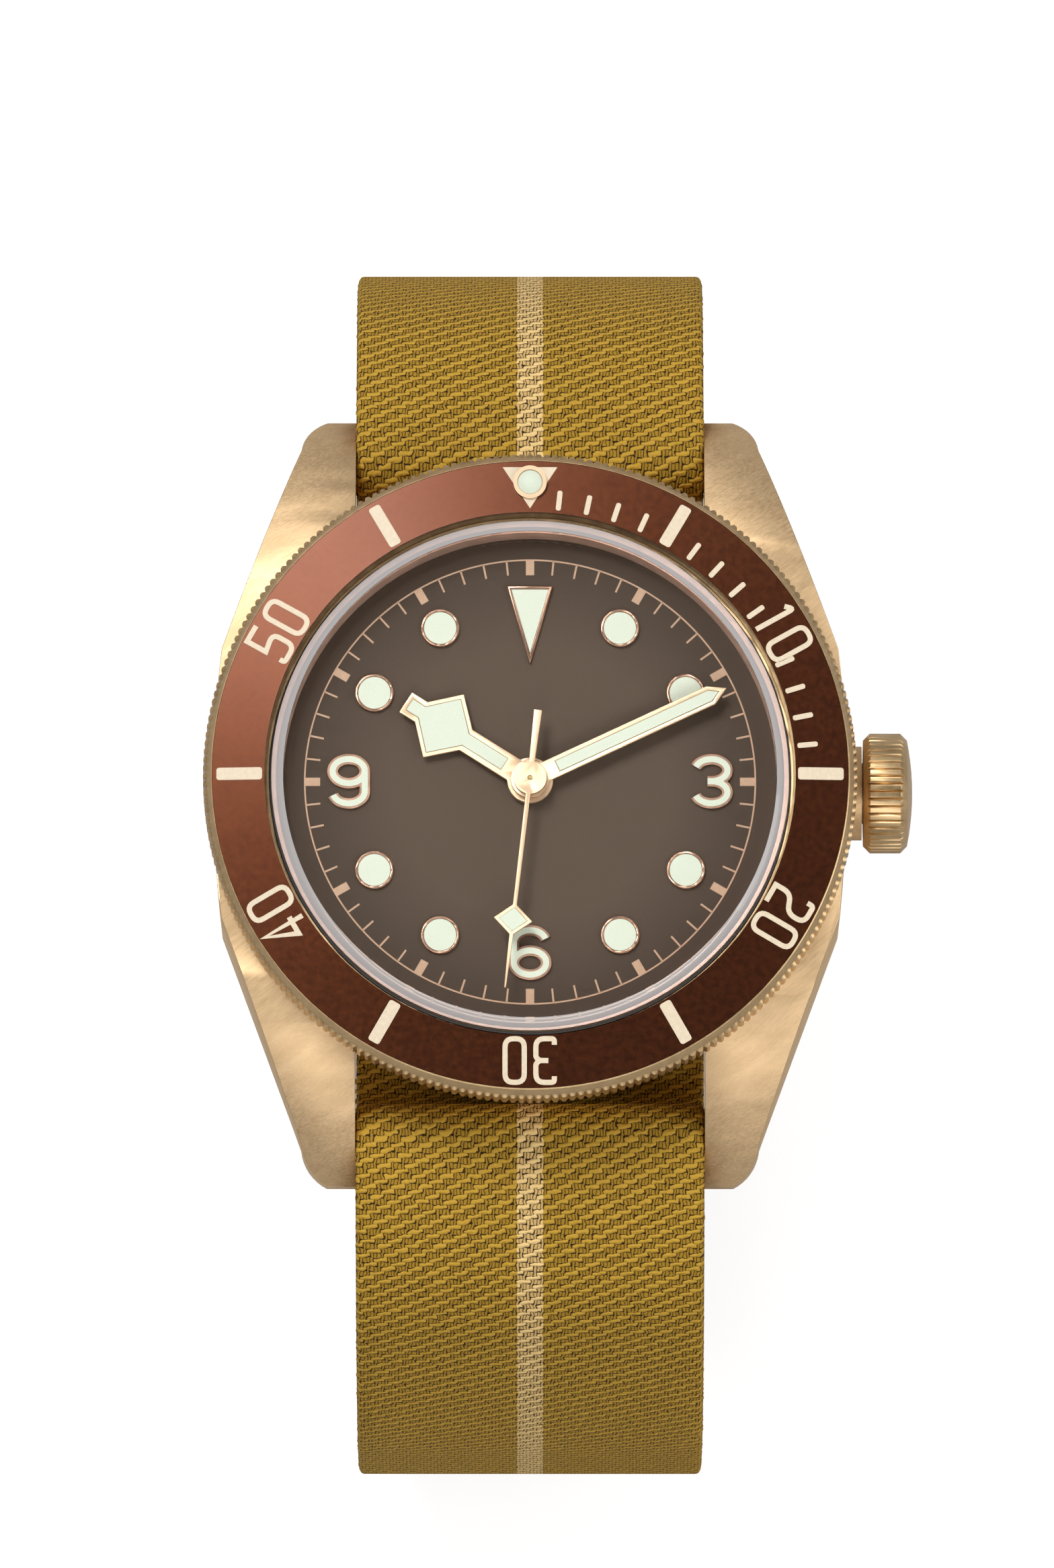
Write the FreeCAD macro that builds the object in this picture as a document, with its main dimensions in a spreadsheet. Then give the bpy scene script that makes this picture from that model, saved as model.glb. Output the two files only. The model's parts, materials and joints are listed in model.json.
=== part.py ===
import FreeCAD, Part
import Sketcher
import math
import os
import re

Vector = FreeCAD.Vector
ORIGIN = Vector(0, 0, 0)
UP = Vector(0, 0, 1)
ALONG = Vector(1, 0, 0)
TURN = 360.0

# Driving sizes, millimetres and degrees. Heights of the watch head count from
# the underside of the caseback; heights of the strap loop from the rest plane.
SIZES = {
    "head_height": 49.0,
    "running_gap": 0.04,
    "seat_gap": 0.02,
    # case
    "case_half_width": "bore_radius + case_wall",
    "case_wall": 3.4,
    "case_side_bow": 0.6,
    "case_shoulder_x": "case_half_width - case_side_bow",
    "case_shoulder_y": 9.0,
    "lug_tip_x": "lug_end_x + lug_nose_corner",
    "lug_tip_y": "lug_end_y - lug_nose_length",
    "lug_end_x": "lug_inner_x + lug_nose_width",
    "lug_end_y": "bar_y + bar_to_nose",
    "lug_inner_x": 11.5,
    "lug_nose_width": 1.9,
    "lug_nose_corner": 1.7,
    "lug_nose_length": 2.4,
    "bar_to_nose": 3.0,
    "flank_radius": "bore_radius + flank_wall",
    "flank_wall": 2.3,
    "flank_clear": 0.45,
    "deck_z": 9.5,
    "case_bottom_z": 1.2,
    "lug_foot_z": 0.3,
    "lug_nose_z": 1.5,
    "lug_top_start_y": "lug_end_y - lug_top_length",
    "lug_top_length": 13.1,
    "lug_top_radius": 17.0,
    "lug_belly_start_y": "lug_end_y - lug_belly_length",
    "lug_belly_length": 6.0,
    "lug_belly_radius": 14.0,
    "bore_radius": 17.5,
    "collar_inner_radius": "bore_radius - collar_step",
    "collar_outer_radius": "collar_inner_radius + collar_wall",
    "collar_step": 0.35,
    "collar_wall": 0.85,
    "seat_step": 0.55,
    "collar_top_z": 11.4,
    "seat_radius": "collar_inner_radius - seat_step",
    "seat_z": 10.7,
    "dial_z": 8.6,
    "dial_thickness": 0.4,
    "dial_radius": "seat_radius - dial_margin",
    "dial_margin": 0.15,
    # back
    "back_flange_radius": "back_seal_outer + back_rim",
    "back_rim": 0.5,
    "back_boss_wall": 1.0,
    "seal_margin": 0.4,
    "seal_width": 0.6,
    "key_slot_length": 2.8,
    "back_flange": 1.2,
    "back_chamfer": 0.5,
    "back_boss_inner": "bore_radius - back_boss_wall",
    "back_boss_top": 3.55,
    "back_seal_inner": "bore_radius + seal_margin",
    "back_seal_outer": "back_seal_inner + seal_width",
    "back_seal_depth": 0.5,
    "key_slots": 6,
    "key_slot_radius": "back_flange_radius - key_slot_length",
    "key_slot_half": 1.3,
    "key_slot_depth": 0.6,
    # crystal, bezel
    "crystal_radius": "collar_inner_radius - crystal_gasket_width",
    "crystal_gasket_width": 0.15,
    "crystal_rest": 1.4,
    "crystal_edge_top": 13.0,
    "crystal_shoulder": 0.8,
    "crystal_shoulder_drop": 0.6,
    "crystal_rise": 1.45,
    "crystal_hollow": 1.3,
    "crystal_inner_radius": "crystal_radius - crystal_rest",
    "rehaut_bottom_radius": "seat_radius - rehaut_foot",
    "rehaut_top_radius": "seat_radius - rehaut_lip",
    "rehaut_foot": 0.7,
    "rehaut_lip": 0.4,
    "bezel_radius": "bore_radius + bezel_reach",
    "bezel_reach": 4.0,
    "bezel_bore": "collar_outer_radius + bezel_play",
    "bezel_lip_bore": "collar_inner_radius + bezel_lip_play",
    "bezel_bottom_z": 9.75,
    "bezel_grip_low": 10.3,
    "bezel_grip_top": 12.2,
    "bezel_top_z": 12.85,
    "bezel_rim_radius": "bezel_radius - bezel_rim_bevel",
    "bezel_play": 0.1,
    "bezel_lip_play": 0.15,
    "bezel_rim_bevel": 0.55,
    "insert_play": 0.05,
    "insert_lip": 0.15,
    "bezel_lip_z": 11.6,
    "insert_bed_z": 12.1,
    "insert_outer": "bezel_rim_radius - insert_play",
    "insert_inner": "bezel_lip_bore + insert_lip",
    "insert_rise": 0.3,
    "click_inner": "bezel_bore + click_bore_gap",
    "click_outer": "bezel_radius - click_rim_gap",
    "click_bore_gap": 0.5,
    "click_rim_gap": 1.1,
    "click_plate": 0.2,
    "wire_radius": 0.22,
    "wire_side": 0.2,
    "wire_ring_radius": "(collar_outer_radius + bezel_bore) / 2",
    "wire_z": 10.45,
    "pearl_y": "bezel_radius - pearl_inset",
    "pearl_inset": 2.05,
    "pearl_cup": 1.1,
    "pearl_dot": 0.83,
    "pearl_lift": 0.4,
    "pearl_depth": 0.5,
    "pearl_rise": 0.25,
    # crown
    "crown_z": 5.4,
    "crown_radius": 3.95,
    "crown_inner_x": "case_half_width + crown_stand",
    "crown_stand": 1.05,
    "crown_length": 3.25,
    "tube_length": 1.45,
    "well_length": 0.6,
    "crown_outer_x": "crown_inner_x + crown_length",
    "crown_dome": 0.35,
    "crown_bevel": 0.45,
    "crown_flutes": 48,
    "flute_depth": 0.22,
    "flute_half": 0.15,
    "tube_collar_radius": 3.1,
    "tube_radius": 2.4,
    "tube_neck_radius": 2.0,
    "tube_bore": 1.0,
    "tube_inner_x": "bore_radius + tube_inset",
    "tube_inset": 0.2,
    "tube_step_depth": 0.3,
    "tube_step_x": "case_half_width - tube_step_depth",
    "tube_end_x": "crown_inner_x + tube_length",
    "crown_well_radius": 2.35,
    "crown_well_end": "tube_end_x + well_length",
    "crown_seal_inner": 2.04,
    "stem_radius": 0.45,
    "stem_inner_x": 8.4,
    "pinion_inner_x": 8.9,
    "pinion_mid_x": 10.0,
    "pinion_outer_x": 11.1,
    "pinion_radius": 0.85,
    "stem_block_half": 1.4,
    "stem_block_inner": 11.2,
    "stem_block_outer": 12.4,
    "stem_block_z": 4.6,
    "stem_hole": 0.8,
    # movement
    "plate_radius": 12.8,
    "plate_z": 6.3,
    "plate_top": 7.5,
    "plate_flange": 13.2,
    "plate_flange_z": 7.1,
    "ring_outer": "bore_radius - ring_play",
    "ring_play": 0.1,
    "ring_bottom": 3.6,
    "recess_radius": 3.5,
    "recess_depth": 0.35,
    "recess_side": 0.75,
    "bridge_z": 3.5,
    "bridge_thickness": 0.7,
    "post_radius": 1.1,
    "jewel_hole": 0.2,
    "foot_radius": 0.35,
    "foot_place": 10.6,
    "foot_length": 1.3,
    "module_main": 0.15,
    "module_train": 0.1,
    "module_third": 0.1059,
    "module_works": 0.14,
    "module_hour": 0.1133,
    "mesh_slack": 0.05,
    "barrel_teeth": 72,
    "centre_leaves": 10,
    "centre_teeth": 64,
    "third_leaves": 8,
    "third_teeth": 60,
    "fourth_leaves": 8,
    "fourth_teeth": 70,
    "escape_leaves": 7,
    "escape_teeth": 15,
    "cannon_leaves": 12,
    "minute_teeth": 36,
    "minute_leaves": 12,
    "hour_teeth": 48,
    "ratchet_teeth": 36,
    "ratchet_radius": 3.5,
    "barrel_direction": 135.0,
    "third_direction": 290.0,
    "escape_direction": 235.0,
    "works_direction": 60.0,
    "balance_distance": 8.6,
    "balance_radius": 3.9,
    "balance_rim": 0.5,
    "pallet_distance": 2.5,
    "escape_radius": 1.95,
    "seconds_arbor": 0.14,
    "centre_tube_inner": 0.18,
    "centre_tube_outer": 0.33,
    "cannon_inner": 0.36,
    "cannon_outer": 0.56,
    "hour_pipe_inner": 0.61,
    "hour_pipe_outer": 0.86,
    "dial_hole": 1.0,
    "barrel_radius": 5.1,
    "barrel_low": 4.8,
    "barrel_top": 6.2,
    "barrel_wall": 0.25,
    "arbor_radius": 0.45,
    "spring_width": 0.16,
    "spring_pitch": 0.8,
    "spring_start": 1.3,
    "spring_half_turns": 8,
    "hair_width": 0.08,
    "hair_pitch": 0.45,
    "hair_start": 0.5,
    "hair_half_turns": 8,
    "rotor_radius": 16.0,
    "rotor_weight_inner": 11.2,
    "rotor_low": 1.75,
    "rotor_web_low": 2.35,
    "rotor_web_top": 2.75,
    "rotor_top": 3.0,
    "rotor_hub": 1.9,
    "bearing_radius": 1.6,
    # hands and dial furniture
    "hour_hand_z": 9.45,
    "minute_hand_z": 10.0,
    "seconds_hand_z": 10.5,
    "hand_thickness": 0.22,
    "hour_angle": 302.5,
    "minute_angle": 64.9,
    "seconds_angle": 186.7,
    "hour_length": 9.6,
    "hour_hub": 1.5,
    "hour_arm": 0.8,
    "hour_arm_end": 4.94,
    "hour_corner_x": 2.48,
    "hour_corner_y": 6.68,
    "hour_tip": 0.78,
    "hour_neck": 8.38,
    "minute_length": 14.13,
    "minute_half": 0.66,
    "minute_hub": 1.27,
    "minute_shoulder": 13.0,
    "window_start": 1.97,
    "seconds_length": 13.95,
    "seconds_hub": 1.1,
    "seconds_tail": 4.5,
    "seconds_tail_half": 0.27,
    "seconds_half": 0.13,
    "diamond_y": 9.44,
    "diamond_half": 1.265,
    "diamond_reach": 1.085,
    "diamond_window": 0.73,
    "lume_margin": 0.29,
    "lume_fit": 0.015,
    "marker_radius": 11.7,
    "dot_radius": 1.25,
    "dot_lume": 1.05,
    "marker_height": 0.25,
    "triangle_top": 12.9,
    "triangle_tip": 7.7,
    "triangle_half": 1.5,
    # strap and buckle
    "strap_width": "2 * (lug_inner_x - strap_side_gap)",
    "strap_side_gap": 0.15,
    "strap_thick": 1.2,
    "strap_gap": 0.3,
    "bar_y": "flank_radius + flank_clear + strap_thick + bar_wrap_gap + bar_radius",
    "bar_z": 2.3,
    "bar_radius": 0.9,
    "bar_bore": 0.55,
    "bar_half": "lug_inner_x - bar_end_gap",
    "bar_end_gap": 0.2,
    "tip_radius": 0.42,
    "tip_depth": 1.1,
    "tip_inside": 4.0,
    "lug_hole": 0.47,
    "lug_hole_depth": 1.3,
    "turn_up_radius": 1.6,
    "bar_wrap_gap": 0.25,
    "leave_slope": 12.0,
    "shoulder_turn": 50.0,
    "shoulder_radius": 16.7,
    "side_radius": 41.0,
    "lower_radius": 12.5,
    "lower_turn": 50.0,
    "floor_radius": 17.1,
    "inner_run_z": "tail_run_z + strap_thick + tail_stack_gap",
    "under_run_z": "frame_height + under_clear + strap_thick / 2",
    "under_clear": 0.65,
    "tail_run_z": "keeper_wall + keeper_clearance + strap_thick / 2",
    "tail_step_start": -2.4,
    "tail_step_slope": 18.0,
    "tail_step_radius": 4.0,
    "tail_run_end": 19.0,
    "tail_turn": 34.0,
    "tail_stack_gap": 0.15,
    "buckle_bar_y": 6.2,
    "buckle_bar_z": "inner_run_z - strap_thick / 2 + fold_outer",
    "buckle_bar_radius": 0.6,
    "fold_bore": "buckle_bar_radius + fold_play",
    "fold_play": 0.15,
    "fold_wall": 1.0,
    "fold_outer": "fold_bore + fold_wall",
    "fold_end_y": 12.9,
    "fold_top_z": "inner_run_z + strap_thick * 1.5",
    "fold_slot_half": 1.15,
    "frame_inner_x": "strap_width / 2 + frame_side_gap",
    "frame_outer_x": "frame_inner_x + frame_wall",
    "frame_side_gap": 0.5,
    "frame_wall": 2.35,
    "frame_bar_width": 2.6,
    "frame_ear_half": 2.0,
    "frame_ear_cover": 1.15,
    "frame_front_y": -7.0,
    "frame_mouth_y": "frame_front_y + frame_bar_width",
    "frame_back_y": "buckle_bar_y + frame_ear_half",
    "frame_height": 2.5,
    "frame_ear_height": "buckle_bar_z + frame_ear_cover",
    "frame_ear_y": "buckle_bar_y - frame_ear_half",
    "frame_corner": 1.6,
    "tang_half": 0.85,
    "tang_thick": 0.9,
    "tang_ring": 1.3,
    "tang_end_y": -5.9,
    "tang_end_z": 0.75,
    "tang_notch": 1.35,
    "tang_notch_y": -6.15,
    "tang_slot_front": -2.6,
    "tang_slot_back": 5.6,
    "keeper_inner_x": "strap_width / 2 + keeper_side_gap",
    "keeper_side_gap": 0.25,
    "keeper_outer_x": "keeper_inner_x + keeper_wall",
    "keeper_wall": 1.0,
    "keeper_length": 3.4,
    "fixed_keeper_y": "fold_end_y - keeper_to_fold",
    "keeper_to_fold": 2.5,
    "sliding_keeper_y": 16.6,
    "keeper_clearance": 0.15,
    "eyelet_radius": 0.9,
    "eyelet_pitch": 6.3,
    # screws
    "screw_head": 0.75,
    "screw_head_height": 0.35,
    "screw_shank": 0.35,
    "screw_shank_length": 1.0,
    "screw_slot": 0.22,
}

doc = FreeCAD.newDocument("DiveWatch")
sheet = doc.addObject("Spreadsheet::Sheet", "Sizes")
for row, name in enumerate(SIZES, 1):
    sheet.set(f"A{row}", name)
    sheet.setAlias(f"B{row}", name)
for row, value in enumerate(SIZES.values(), 1):
    sheet.set(f"B{row}", f"={value}" if isinstance(value, str) else str(value))
doc.recompute()

WORD = re.compile(r"\b([a-z]+(?:_[a-z]+)+)\b")


def linked(text):
    """An expression on the sheet, from one written in plain size names."""
    return WORD.sub(r"Sizes.\1", str(text))


def num(text):
    """The present value of an expression written in size names."""
    result = sheet.evalExpression(linked(text))
    return float(getattr(result, "Value", result))


def place(item, at, spin="0"):
    """Bind a sub-part's place and its turn about +Z to the sheet."""
    for axis, text in zip("xyz", at):
        item.setExpression(f"Placement.Base.{axis}", linked(text))
    if str(spin) != "0":
        item.Placement.Rotation = FreeCAD.Rotation(UP, num(spin))
        item.setExpression("Placement.Rotation.Angle", linked(spin))


HEAD = ("0", "0", "head_height")
nodes = []


class Piece:
    """One sub-part made of sketches and features, named by its node."""

    def __init__(self, node, at=HEAD, spin="0"):
        self.body = doc.addObject("PartDesign::Body", node)
        self.body.Label = node
        self.count = 0
        place(self.body, at, spin)
        nodes.append(self.body)

    def sketch(self, plane, loops, circles=(), offset="0"):
        self.count += 1
        made = self.body.newObject("Sketcher::SketchObject", f"{self.body.Name}_sketch{self.count}")
        role = f"{plane}_Plane"
        support = [f for f in self.body.Origin.OriginFeatures if f.Role == role][0]
        made.AttachmentSupport = [(support, "")]
        made.MapMode = "FlatFace"
        made.setExpression("AttachmentOffset.Base.z", linked(offset))
        for loop in loops:
            add_loop(made, loop)
        for centre_x, centre_y, radius in circles:
            add_circle(made, centre_x, centre_y, radius)
        return made

    def feature(self, kind, sketch):
        self.count += 1
        made = self.body.newObject(f"PartDesign::{kind}", f"{self.body.Name}_{kind}{self.count}")
        made.Profile = sketch
        return made

    def turn(self, profile, axis="V_Axis", cut=False):
        """Turn a profile of radius, height lines about Z, or length, radius about X."""
        sketch = self.sketch("XZ", [profile])
        made = self.feature("Groove" if cut else "Revolution", sketch)
        made.ReferenceAxis = (sketch, [axis])
        made.Angle = TURN
        return self.done(made, cut)

    def pad(self, low, high, loops=(), circles=(), cut=False, plane="XY"):
        """Raise or cut outlines between two levels along the plane's normal."""
        sketch = self.sketch(plane, loops, circles, low)
        made = self.feature("Pocket" if cut else "Pad", sketch)
        made.Type = 0
        made.Reversed = bool(cut)
        made.setExpression("Length", linked(f"({high}) - ({low})"))
        return self.done(made, cut)

    def around(self, made, count, axis="N_Axis"):
        """Repeat a feature about its sketch's normal."""
        pattern = self.body.newObject("PartDesign::PolarPattern", f"{made.Name}_around")
        pattern.Originals = [made]
        pattern.Axis = (made.Profile[0], [axis])
        pattern.Angle = TURN
        pattern.setExpression("Occurrences", linked(count))
        self.body.Tip = pattern
        return self.done(pattern, True)

    def done(self, made, cut):
        before = getattr(self, "volume", 0.0)
        doc.recompute()
        self.volume = made.Shape.Volume
        changed = self.volume < before - 1e-6 if cut else self.volume > before + 1e-6
        if not made.isValid() or not changed:
            raise RuntimeError(f"{made.Name}: {made.State} {before} {self.volume}")
        return made


def parsed(profile):
    """Corners from lines 'x, y' or 'x, y, radius' where an arc leads to the next corner."""
    return [[cell.strip() for cell in line.split(",")] for line in profile.strip().splitlines()]


def pin_point(made, edge, end, corner_x, corner_y):
    for kind, text in (("DistanceX", corner_x), ("DistanceY", corner_y)):
        index = made.addConstraint(Sketcher.Constraint(kind, -1, 1, edge, end, num(text)))
        made.setExpression(f"Constraints[{index}]", linked(text))


def arc_between(start, end, radius):
    """The short arc from start to end; a positive radius has its centre on the left."""
    chord = end.sub(start)
    half = chord.Length / 2
    side = Vector(-chord.y, chord.x, 0).normalize() * math.copysign(1, radius)
    height = math.sqrt(max(radius * radius - half * half, 0.0))
    centre = (start + end) * 0.5 + side * height
    middle = centre - side * abs(radius)
    return Part.Arc(start, middle, end)


def add_loop(made, profile):
    corners = parsed(profile)
    points = [Vector(num(corner[0]), num(corner[1]), 0) for corner in corners]
    first = made.GeometryCount
    ends = []
    for index, corner in enumerate(corners):
        start, end = points[index], points[(index + 1) % len(points)]
        if len(corner) == 2:
            made.addGeometry(Part.LineSegment(start, end), False)
            ends.append((1, 2))
            continue
        radius = num(corner[2])
        arc = arc_between(start, end, radius)
        added = made.addGeometry(arc, False)
        near = made.getPoint(added, 1).distanceToPoint(start) < 1e-6
        ends.append((1, 2) if near else (2, 1))
        held = Sketcher.Constraint("Radius", added, abs(radius))
        slot = made.addConstraint(held)
        sign = "-1 * " if radius < 0 else ""
        made.setExpression(f"Constraints[{slot}]", linked(f"{sign}({corner[2]})"))
    for index, corner in enumerate(corners):
        following = (index + 1) % len(corners)
        joined = Sketcher.Constraint(
            "Coincident", first + index, ends[index][1], first + following, ends[following][0]
        )
        made.addConstraint(joined)
        pin_point(made, first + index, ends[index][0], corner[0], corner[1])


def add_circle(made, centre_x, centre_y, radius):
    centre = Vector(num(centre_x), num(centre_y), 0)
    edge = made.addGeometry(Part.Circle(centre, UP, num(radius)), False)
    pin_point(made, edge, 3, centre_x, centre_y)
    slot = made.addConstraint(Sketcher.Constraint("Radius", edge, num(radius)))
    made.setExpression(f"Constraints[{slot}]", linked(radius))


def shaped(node, shape, at=HEAD, spin="0"):
    """A sub-part whose outline no sketch feature makes: teeth, coils, a bent band."""
    item = doc.addObject("Part::Feature", node)
    item.Label = node
    item.Shape = shape
    place(item, at, spin)
    nodes.append(item)
    return item


def rod(radius, low, high, x="0", y="0"):
    base = Vector(num(x), num(y), num(low))
    return Part.makeCylinder(num(radius), num(high) - num(low), base, UP)


def tube(inner, outer, low, high, x="0", y="0"):
    return rod(outer, low, high, x, y).cut(rod(inner, f"({low}) - 1", f"({high}) + 1", x, y))


def toothed(teeth, module, low, high, bore=None):
    """A spur wheel with pointed teeth; its first tooth points along +X."""
    count = int(num(teeth))
    pitch = num(module) * count / 2
    tip = pitch + 0.85 * num(module)
    root = pitch - 1.1 * num(module)
    points = []
    for tooth in range(count):
        for share, radius in ((-0.28, root), (0.0, tip), (0.28, root)):
            angle = 2 * math.pi * (tooth + share) / count
            points.append(Vector(radius * math.cos(angle), radius * math.sin(angle), num(low)))
    points.append(points[0])
    face = Part.Face(Part.makePolygon(points))
    wheel = face.extrude(UP * (num(high) - num(low)))
    if bore:
        wheel = wheel.cut(rod(bore, f"({low}) - 1", f"({high}) + 1"))
    return wheel


def spiral(start, pitch, width, low, high, half_turns):
    """A flat spiral band made of half circles."""
    half = num(width) / 2
    ends, outer, inner = [], [], []
    for side, edges in ((half, outer), (-half, inner)):
        radius = num(start) + side
        centre = 0.0
        for turn in range(int(num(half_turns))):
            sign = 1 if turn % 2 == 0 else -1
            a = Vector(centre + sign * radius, 0, num(low))
            b = Vector(centre, sign * radius, num(low))
            c = Vector(centre - sign * radius, 0, num(low))
            edges.append(Part.Arc(a, b, c).toShape())
            radius += num(pitch) / 2
            centre += sign * num(pitch) / 2
        ends.append((edges[0].Vertexes, edges[-1].Vertexes))
    caps = []
    for group_out, group_in in ((outer[0], inner[0]), (outer[-1], inner[-1])):
        first = group_out is outer[0]
        a = group_out.valueAt(group_out.FirstParameter if first else group_out.LastParameter)
        b = group_in.valueAt(group_in.FirstParameter if first else group_in.LastParameter)
        caps.append(Part.makeLine(a, b))
    wire = Part.Wire(Part.__sortEdges__(outer + inner + caps))
    return Part.Face(wire).extrude(UP * (num(high) - num(low)))


def copies(shape, places):
    """Separate solids of one shape at several places."""
    made = []
    for x, y, z in places:
        one = shape.copy()
        one.translate(Vector(x, y, z))
        made.append(one)
    return Part.makeCompound(made)


def polar(distance, direction):
    """Expressions of a point at a distance and a direction from the middle."""
    return f"({distance}) * cos(({direction}) * 1 deg)", f"({distance}) * sin(({direction}) * 1 deg)"


def meshed(lead_spin, lead_teeth, teeth, direction):
    """The turn that puts a gap of this wheel against a tooth of the wheel it meets."""
    lead = f"((({direction}) - ({lead_spin})) * ({lead_teeth}) / 360)"
    return f"(({direction}) + 180) - (0.5 - {lead}) * 360 / ({teeth})"


# --- case ---------------------------------------------------------------
case = Piece("case_middle")
case.pad("-1 * case_half_width - 1", "case_half_width + 1", plane="YZ", loops=["""
    -1 * lug_top_start_y, deck_z, lug_top_radius
    -1 * lug_end_y, lug_nose_z
    -1 * lug_end_y, lug_foot_z, -1 * lug_belly_radius
    -1 * lug_belly_start_y, case_bottom_z
    lug_belly_start_y, case_bottom_z, -1 * lug_belly_radius
    lug_end_y, lug_foot_z
    lug_end_y, lug_nose_z, lug_top_radius
    lug_top_start_y, deck_z
"""])
case.pad("-5", "deck_z + 5", cut=True, loops=["""
    -1 * case_half_width - 9, -1 * lug_end_y - 9
    case_half_width + 9, -1 * lug_end_y - 9
    case_half_width + 9, lug_end_y + 9
    -1 * case_half_width - 9, lug_end_y + 9
""", """
    case_half_width, 0, 80
    case_shoulder_x, case_shoulder_y
    lug_tip_x, lug_tip_y, 3
    lug_end_x, lug_end_y
    lug_inner_x, lug_end_y
    lug_inner_x, (flank_radius ^ 2 - lug_inner_x ^ 2) ^ 0.5, flank_radius
    -1 * lug_inner_x, (flank_radius ^ 2 - lug_inner_x ^ 2) ^ 0.5
    -1 * lug_inner_x, lug_end_y
    -1 * lug_end_x, lug_end_y, 3
    -1 * lug_tip_x, lug_tip_y
    -1 * case_shoulder_x, case_shoulder_y, 80
    -1 * case_half_width, 0, 80
    -1 * case_shoulder_x, -1 * case_shoulder_y
    -1 * lug_tip_x, -1 * lug_tip_y, 3
    -1 * lug_end_x, -1 * lug_end_y
    -1 * lug_inner_x, -1 * lug_end_y
    -1 * lug_inner_x, -1 * (flank_radius ^ 2 - lug_inner_x ^ 2) ^ 0.5, flank_radius
    lug_inner_x, -1 * (flank_radius ^ 2 - lug_inner_x ^ 2) ^ 0.5
    lug_inner_x, -1 * lug_end_y
    lug_end_x, -1 * lug_end_y, 3
    lug_tip_x, -1 * lug_tip_y
    case_shoulder_x, -1 * case_shoulder_y, 80
"""])
case.turn("""
    seat_radius, deck_z - 0.2
    collar_outer_radius, deck_z - 0.2
    collar_outer_radius, collar_top_z
    seat_radius, collar_top_z
""")
case.turn("""
    0, -1
    back_seal_outer, -1
    back_seal_outer, case_bottom_z + back_seal_depth
    back_seal_inner, case_bottom_z + back_seal_depth
    back_seal_inner, case_bottom_z
    bore_radius, case_bottom_z
    bore_radius, dial_z
    seat_radius, dial_z
    seat_radius, seat_z
    collar_inner_radius, seat_z
    collar_inner_radius, collar_top_z + 1
    0, collar_top_z + 1
""", cut=True)
case.turn("""
    wire_ring_radius, wire_z - wire_radius
    collar_outer_radius + 0.01, wire_z - wire_radius
    collar_outer_radius + 0.01, wire_z + wire_radius
    wire_ring_radius - wire_radius, wire_z + wire_radius
    wire_ring_radius - wire_radius, wire_z - wire_radius
""", cut=True)
case.pad("tube_inner_x - 2", "case_half_width + 2", plane="YZ", cut=True,
         circles=[("0", "crown_z", "tube_radius")])
case.pad("tube_step_x", "case_half_width + 2", plane="YZ", cut=True,
         circles=[("0", "crown_z", "tube_collar_radius + seat_gap")])
case.pad("-1 * lug_inner_x - lug_hole_depth", "lug_inner_x + lug_hole_depth", plane="YZ", cut=True,
         circles=[("bar_y", "bar_z", "lug_hole"), ("-1 * bar_y", "bar_z", "lug_hole")])

back = Piece("caseback")
back.turn("""
    0, 0
    back_flange_radius - back_chamfer, 0
    back_flange_radius, back_chamfer
    back_flange_radius, back_flange
    bore_radius - seat_gap, back_flange
    bore_radius - seat_gap, back_boss_top
    back_boss_inner, back_boss_top
    back_boss_inner, back_flange
    0, back_flange
""")
slot = back.pad("-0.1", "key_slot_depth", cut=True, loops=["""
    key_slot_radius, -1 * key_slot_half
    back_flange_radius + 1, -1 * key_slot_half
    back_flange_radius + 1, key_slot_half
    key_slot_radius, key_slot_half
"""])
back.around(slot, "key_slots")

Piece("caseback_gasket").turn("""
    back_seal_inner + seat_gap, back_flange
    back_seal_outer - seat_gap, back_flange
    back_seal_outer - seat_gap, back_flange + back_seal_depth - seat_gap
    back_seal_inner + seat_gap, back_flange + back_seal_depth - seat_gap
""")

Piece("crystal").turn("""
    0, seat_z + crystal_hollow, -1 * (crystal_inner_radius ^ 2 + crystal_hollow ^ 2) / (2 * crystal_hollow)
    crystal_inner_radius, seat_z
    crystal_radius, seat_z
    crystal_radius, crystal_edge_top - crystal_shoulder_drop
    crystal_radius - crystal_shoulder, crystal_edge_top, ((crystal_radius - crystal_shoulder) ^ 2 + crystal_rise ^ 2) / (2 * crystal_rise)
    0, crystal_edge_top + crystal_rise
""")
Piece("crystal_gasket").turn("""
    crystal_radius + seat_gap, seat_z
    collar_inner_radius - seat_gap, seat_z
    collar_inner_radius - seat_gap, collar_top_z + 0.1
    crystal_radius + seat_gap, collar_top_z + 0.1
""")
Piece("rehaut_ring").turn("""
    rehaut_bottom_radius, dial_z + dial_thickness
    seat_radius - seat_gap, dial_z + dial_thickness
    seat_radius - seat_gap, seat_z
    rehaut_top_radius, seat_z
""")

# --- bezel ----------------------------------------------------------------
bezel = Piece("bezel_ring")
bezel.turn("""
    bezel_bore, bezel_bottom_z
    bezel_radius - 0.4, bezel_bottom_z
    bezel_radius, bezel_grip_low
    bezel_radius, bezel_grip_top
    bezel_rim_radius, bezel_top_z
    insert_outer + seat_gap, bezel_top_z
    insert_outer + seat_gap, insert_bed_z
    bezel_lip_bore, insert_bed_z
    bezel_lip_bore, bezel_lip_z
    bezel_bore, bezel_lip_z
""")
bezel.turn("""
    bezel_bore - 0.01, wire_z - wire_radius - 0.02
    wire_ring_radius + wire_radius + 0.04, wire_z - wire_radius - 0.02
    wire_ring_radius + wire_radius + 0.04, wire_z + wire_radius + 0.02
    bezel_bore - 0.01, wire_z + wire_radius + 0.02
""", cut=True)
insert = Piece("bezel_insert")
insert.turn("""
    insert_inner, insert_bed_z
    insert_outer, insert_bed_z
    insert_outer, bezel_top_z - 0.05
    insert_inner, bezel_top_z - 0.05 + insert_rise
""")
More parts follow.
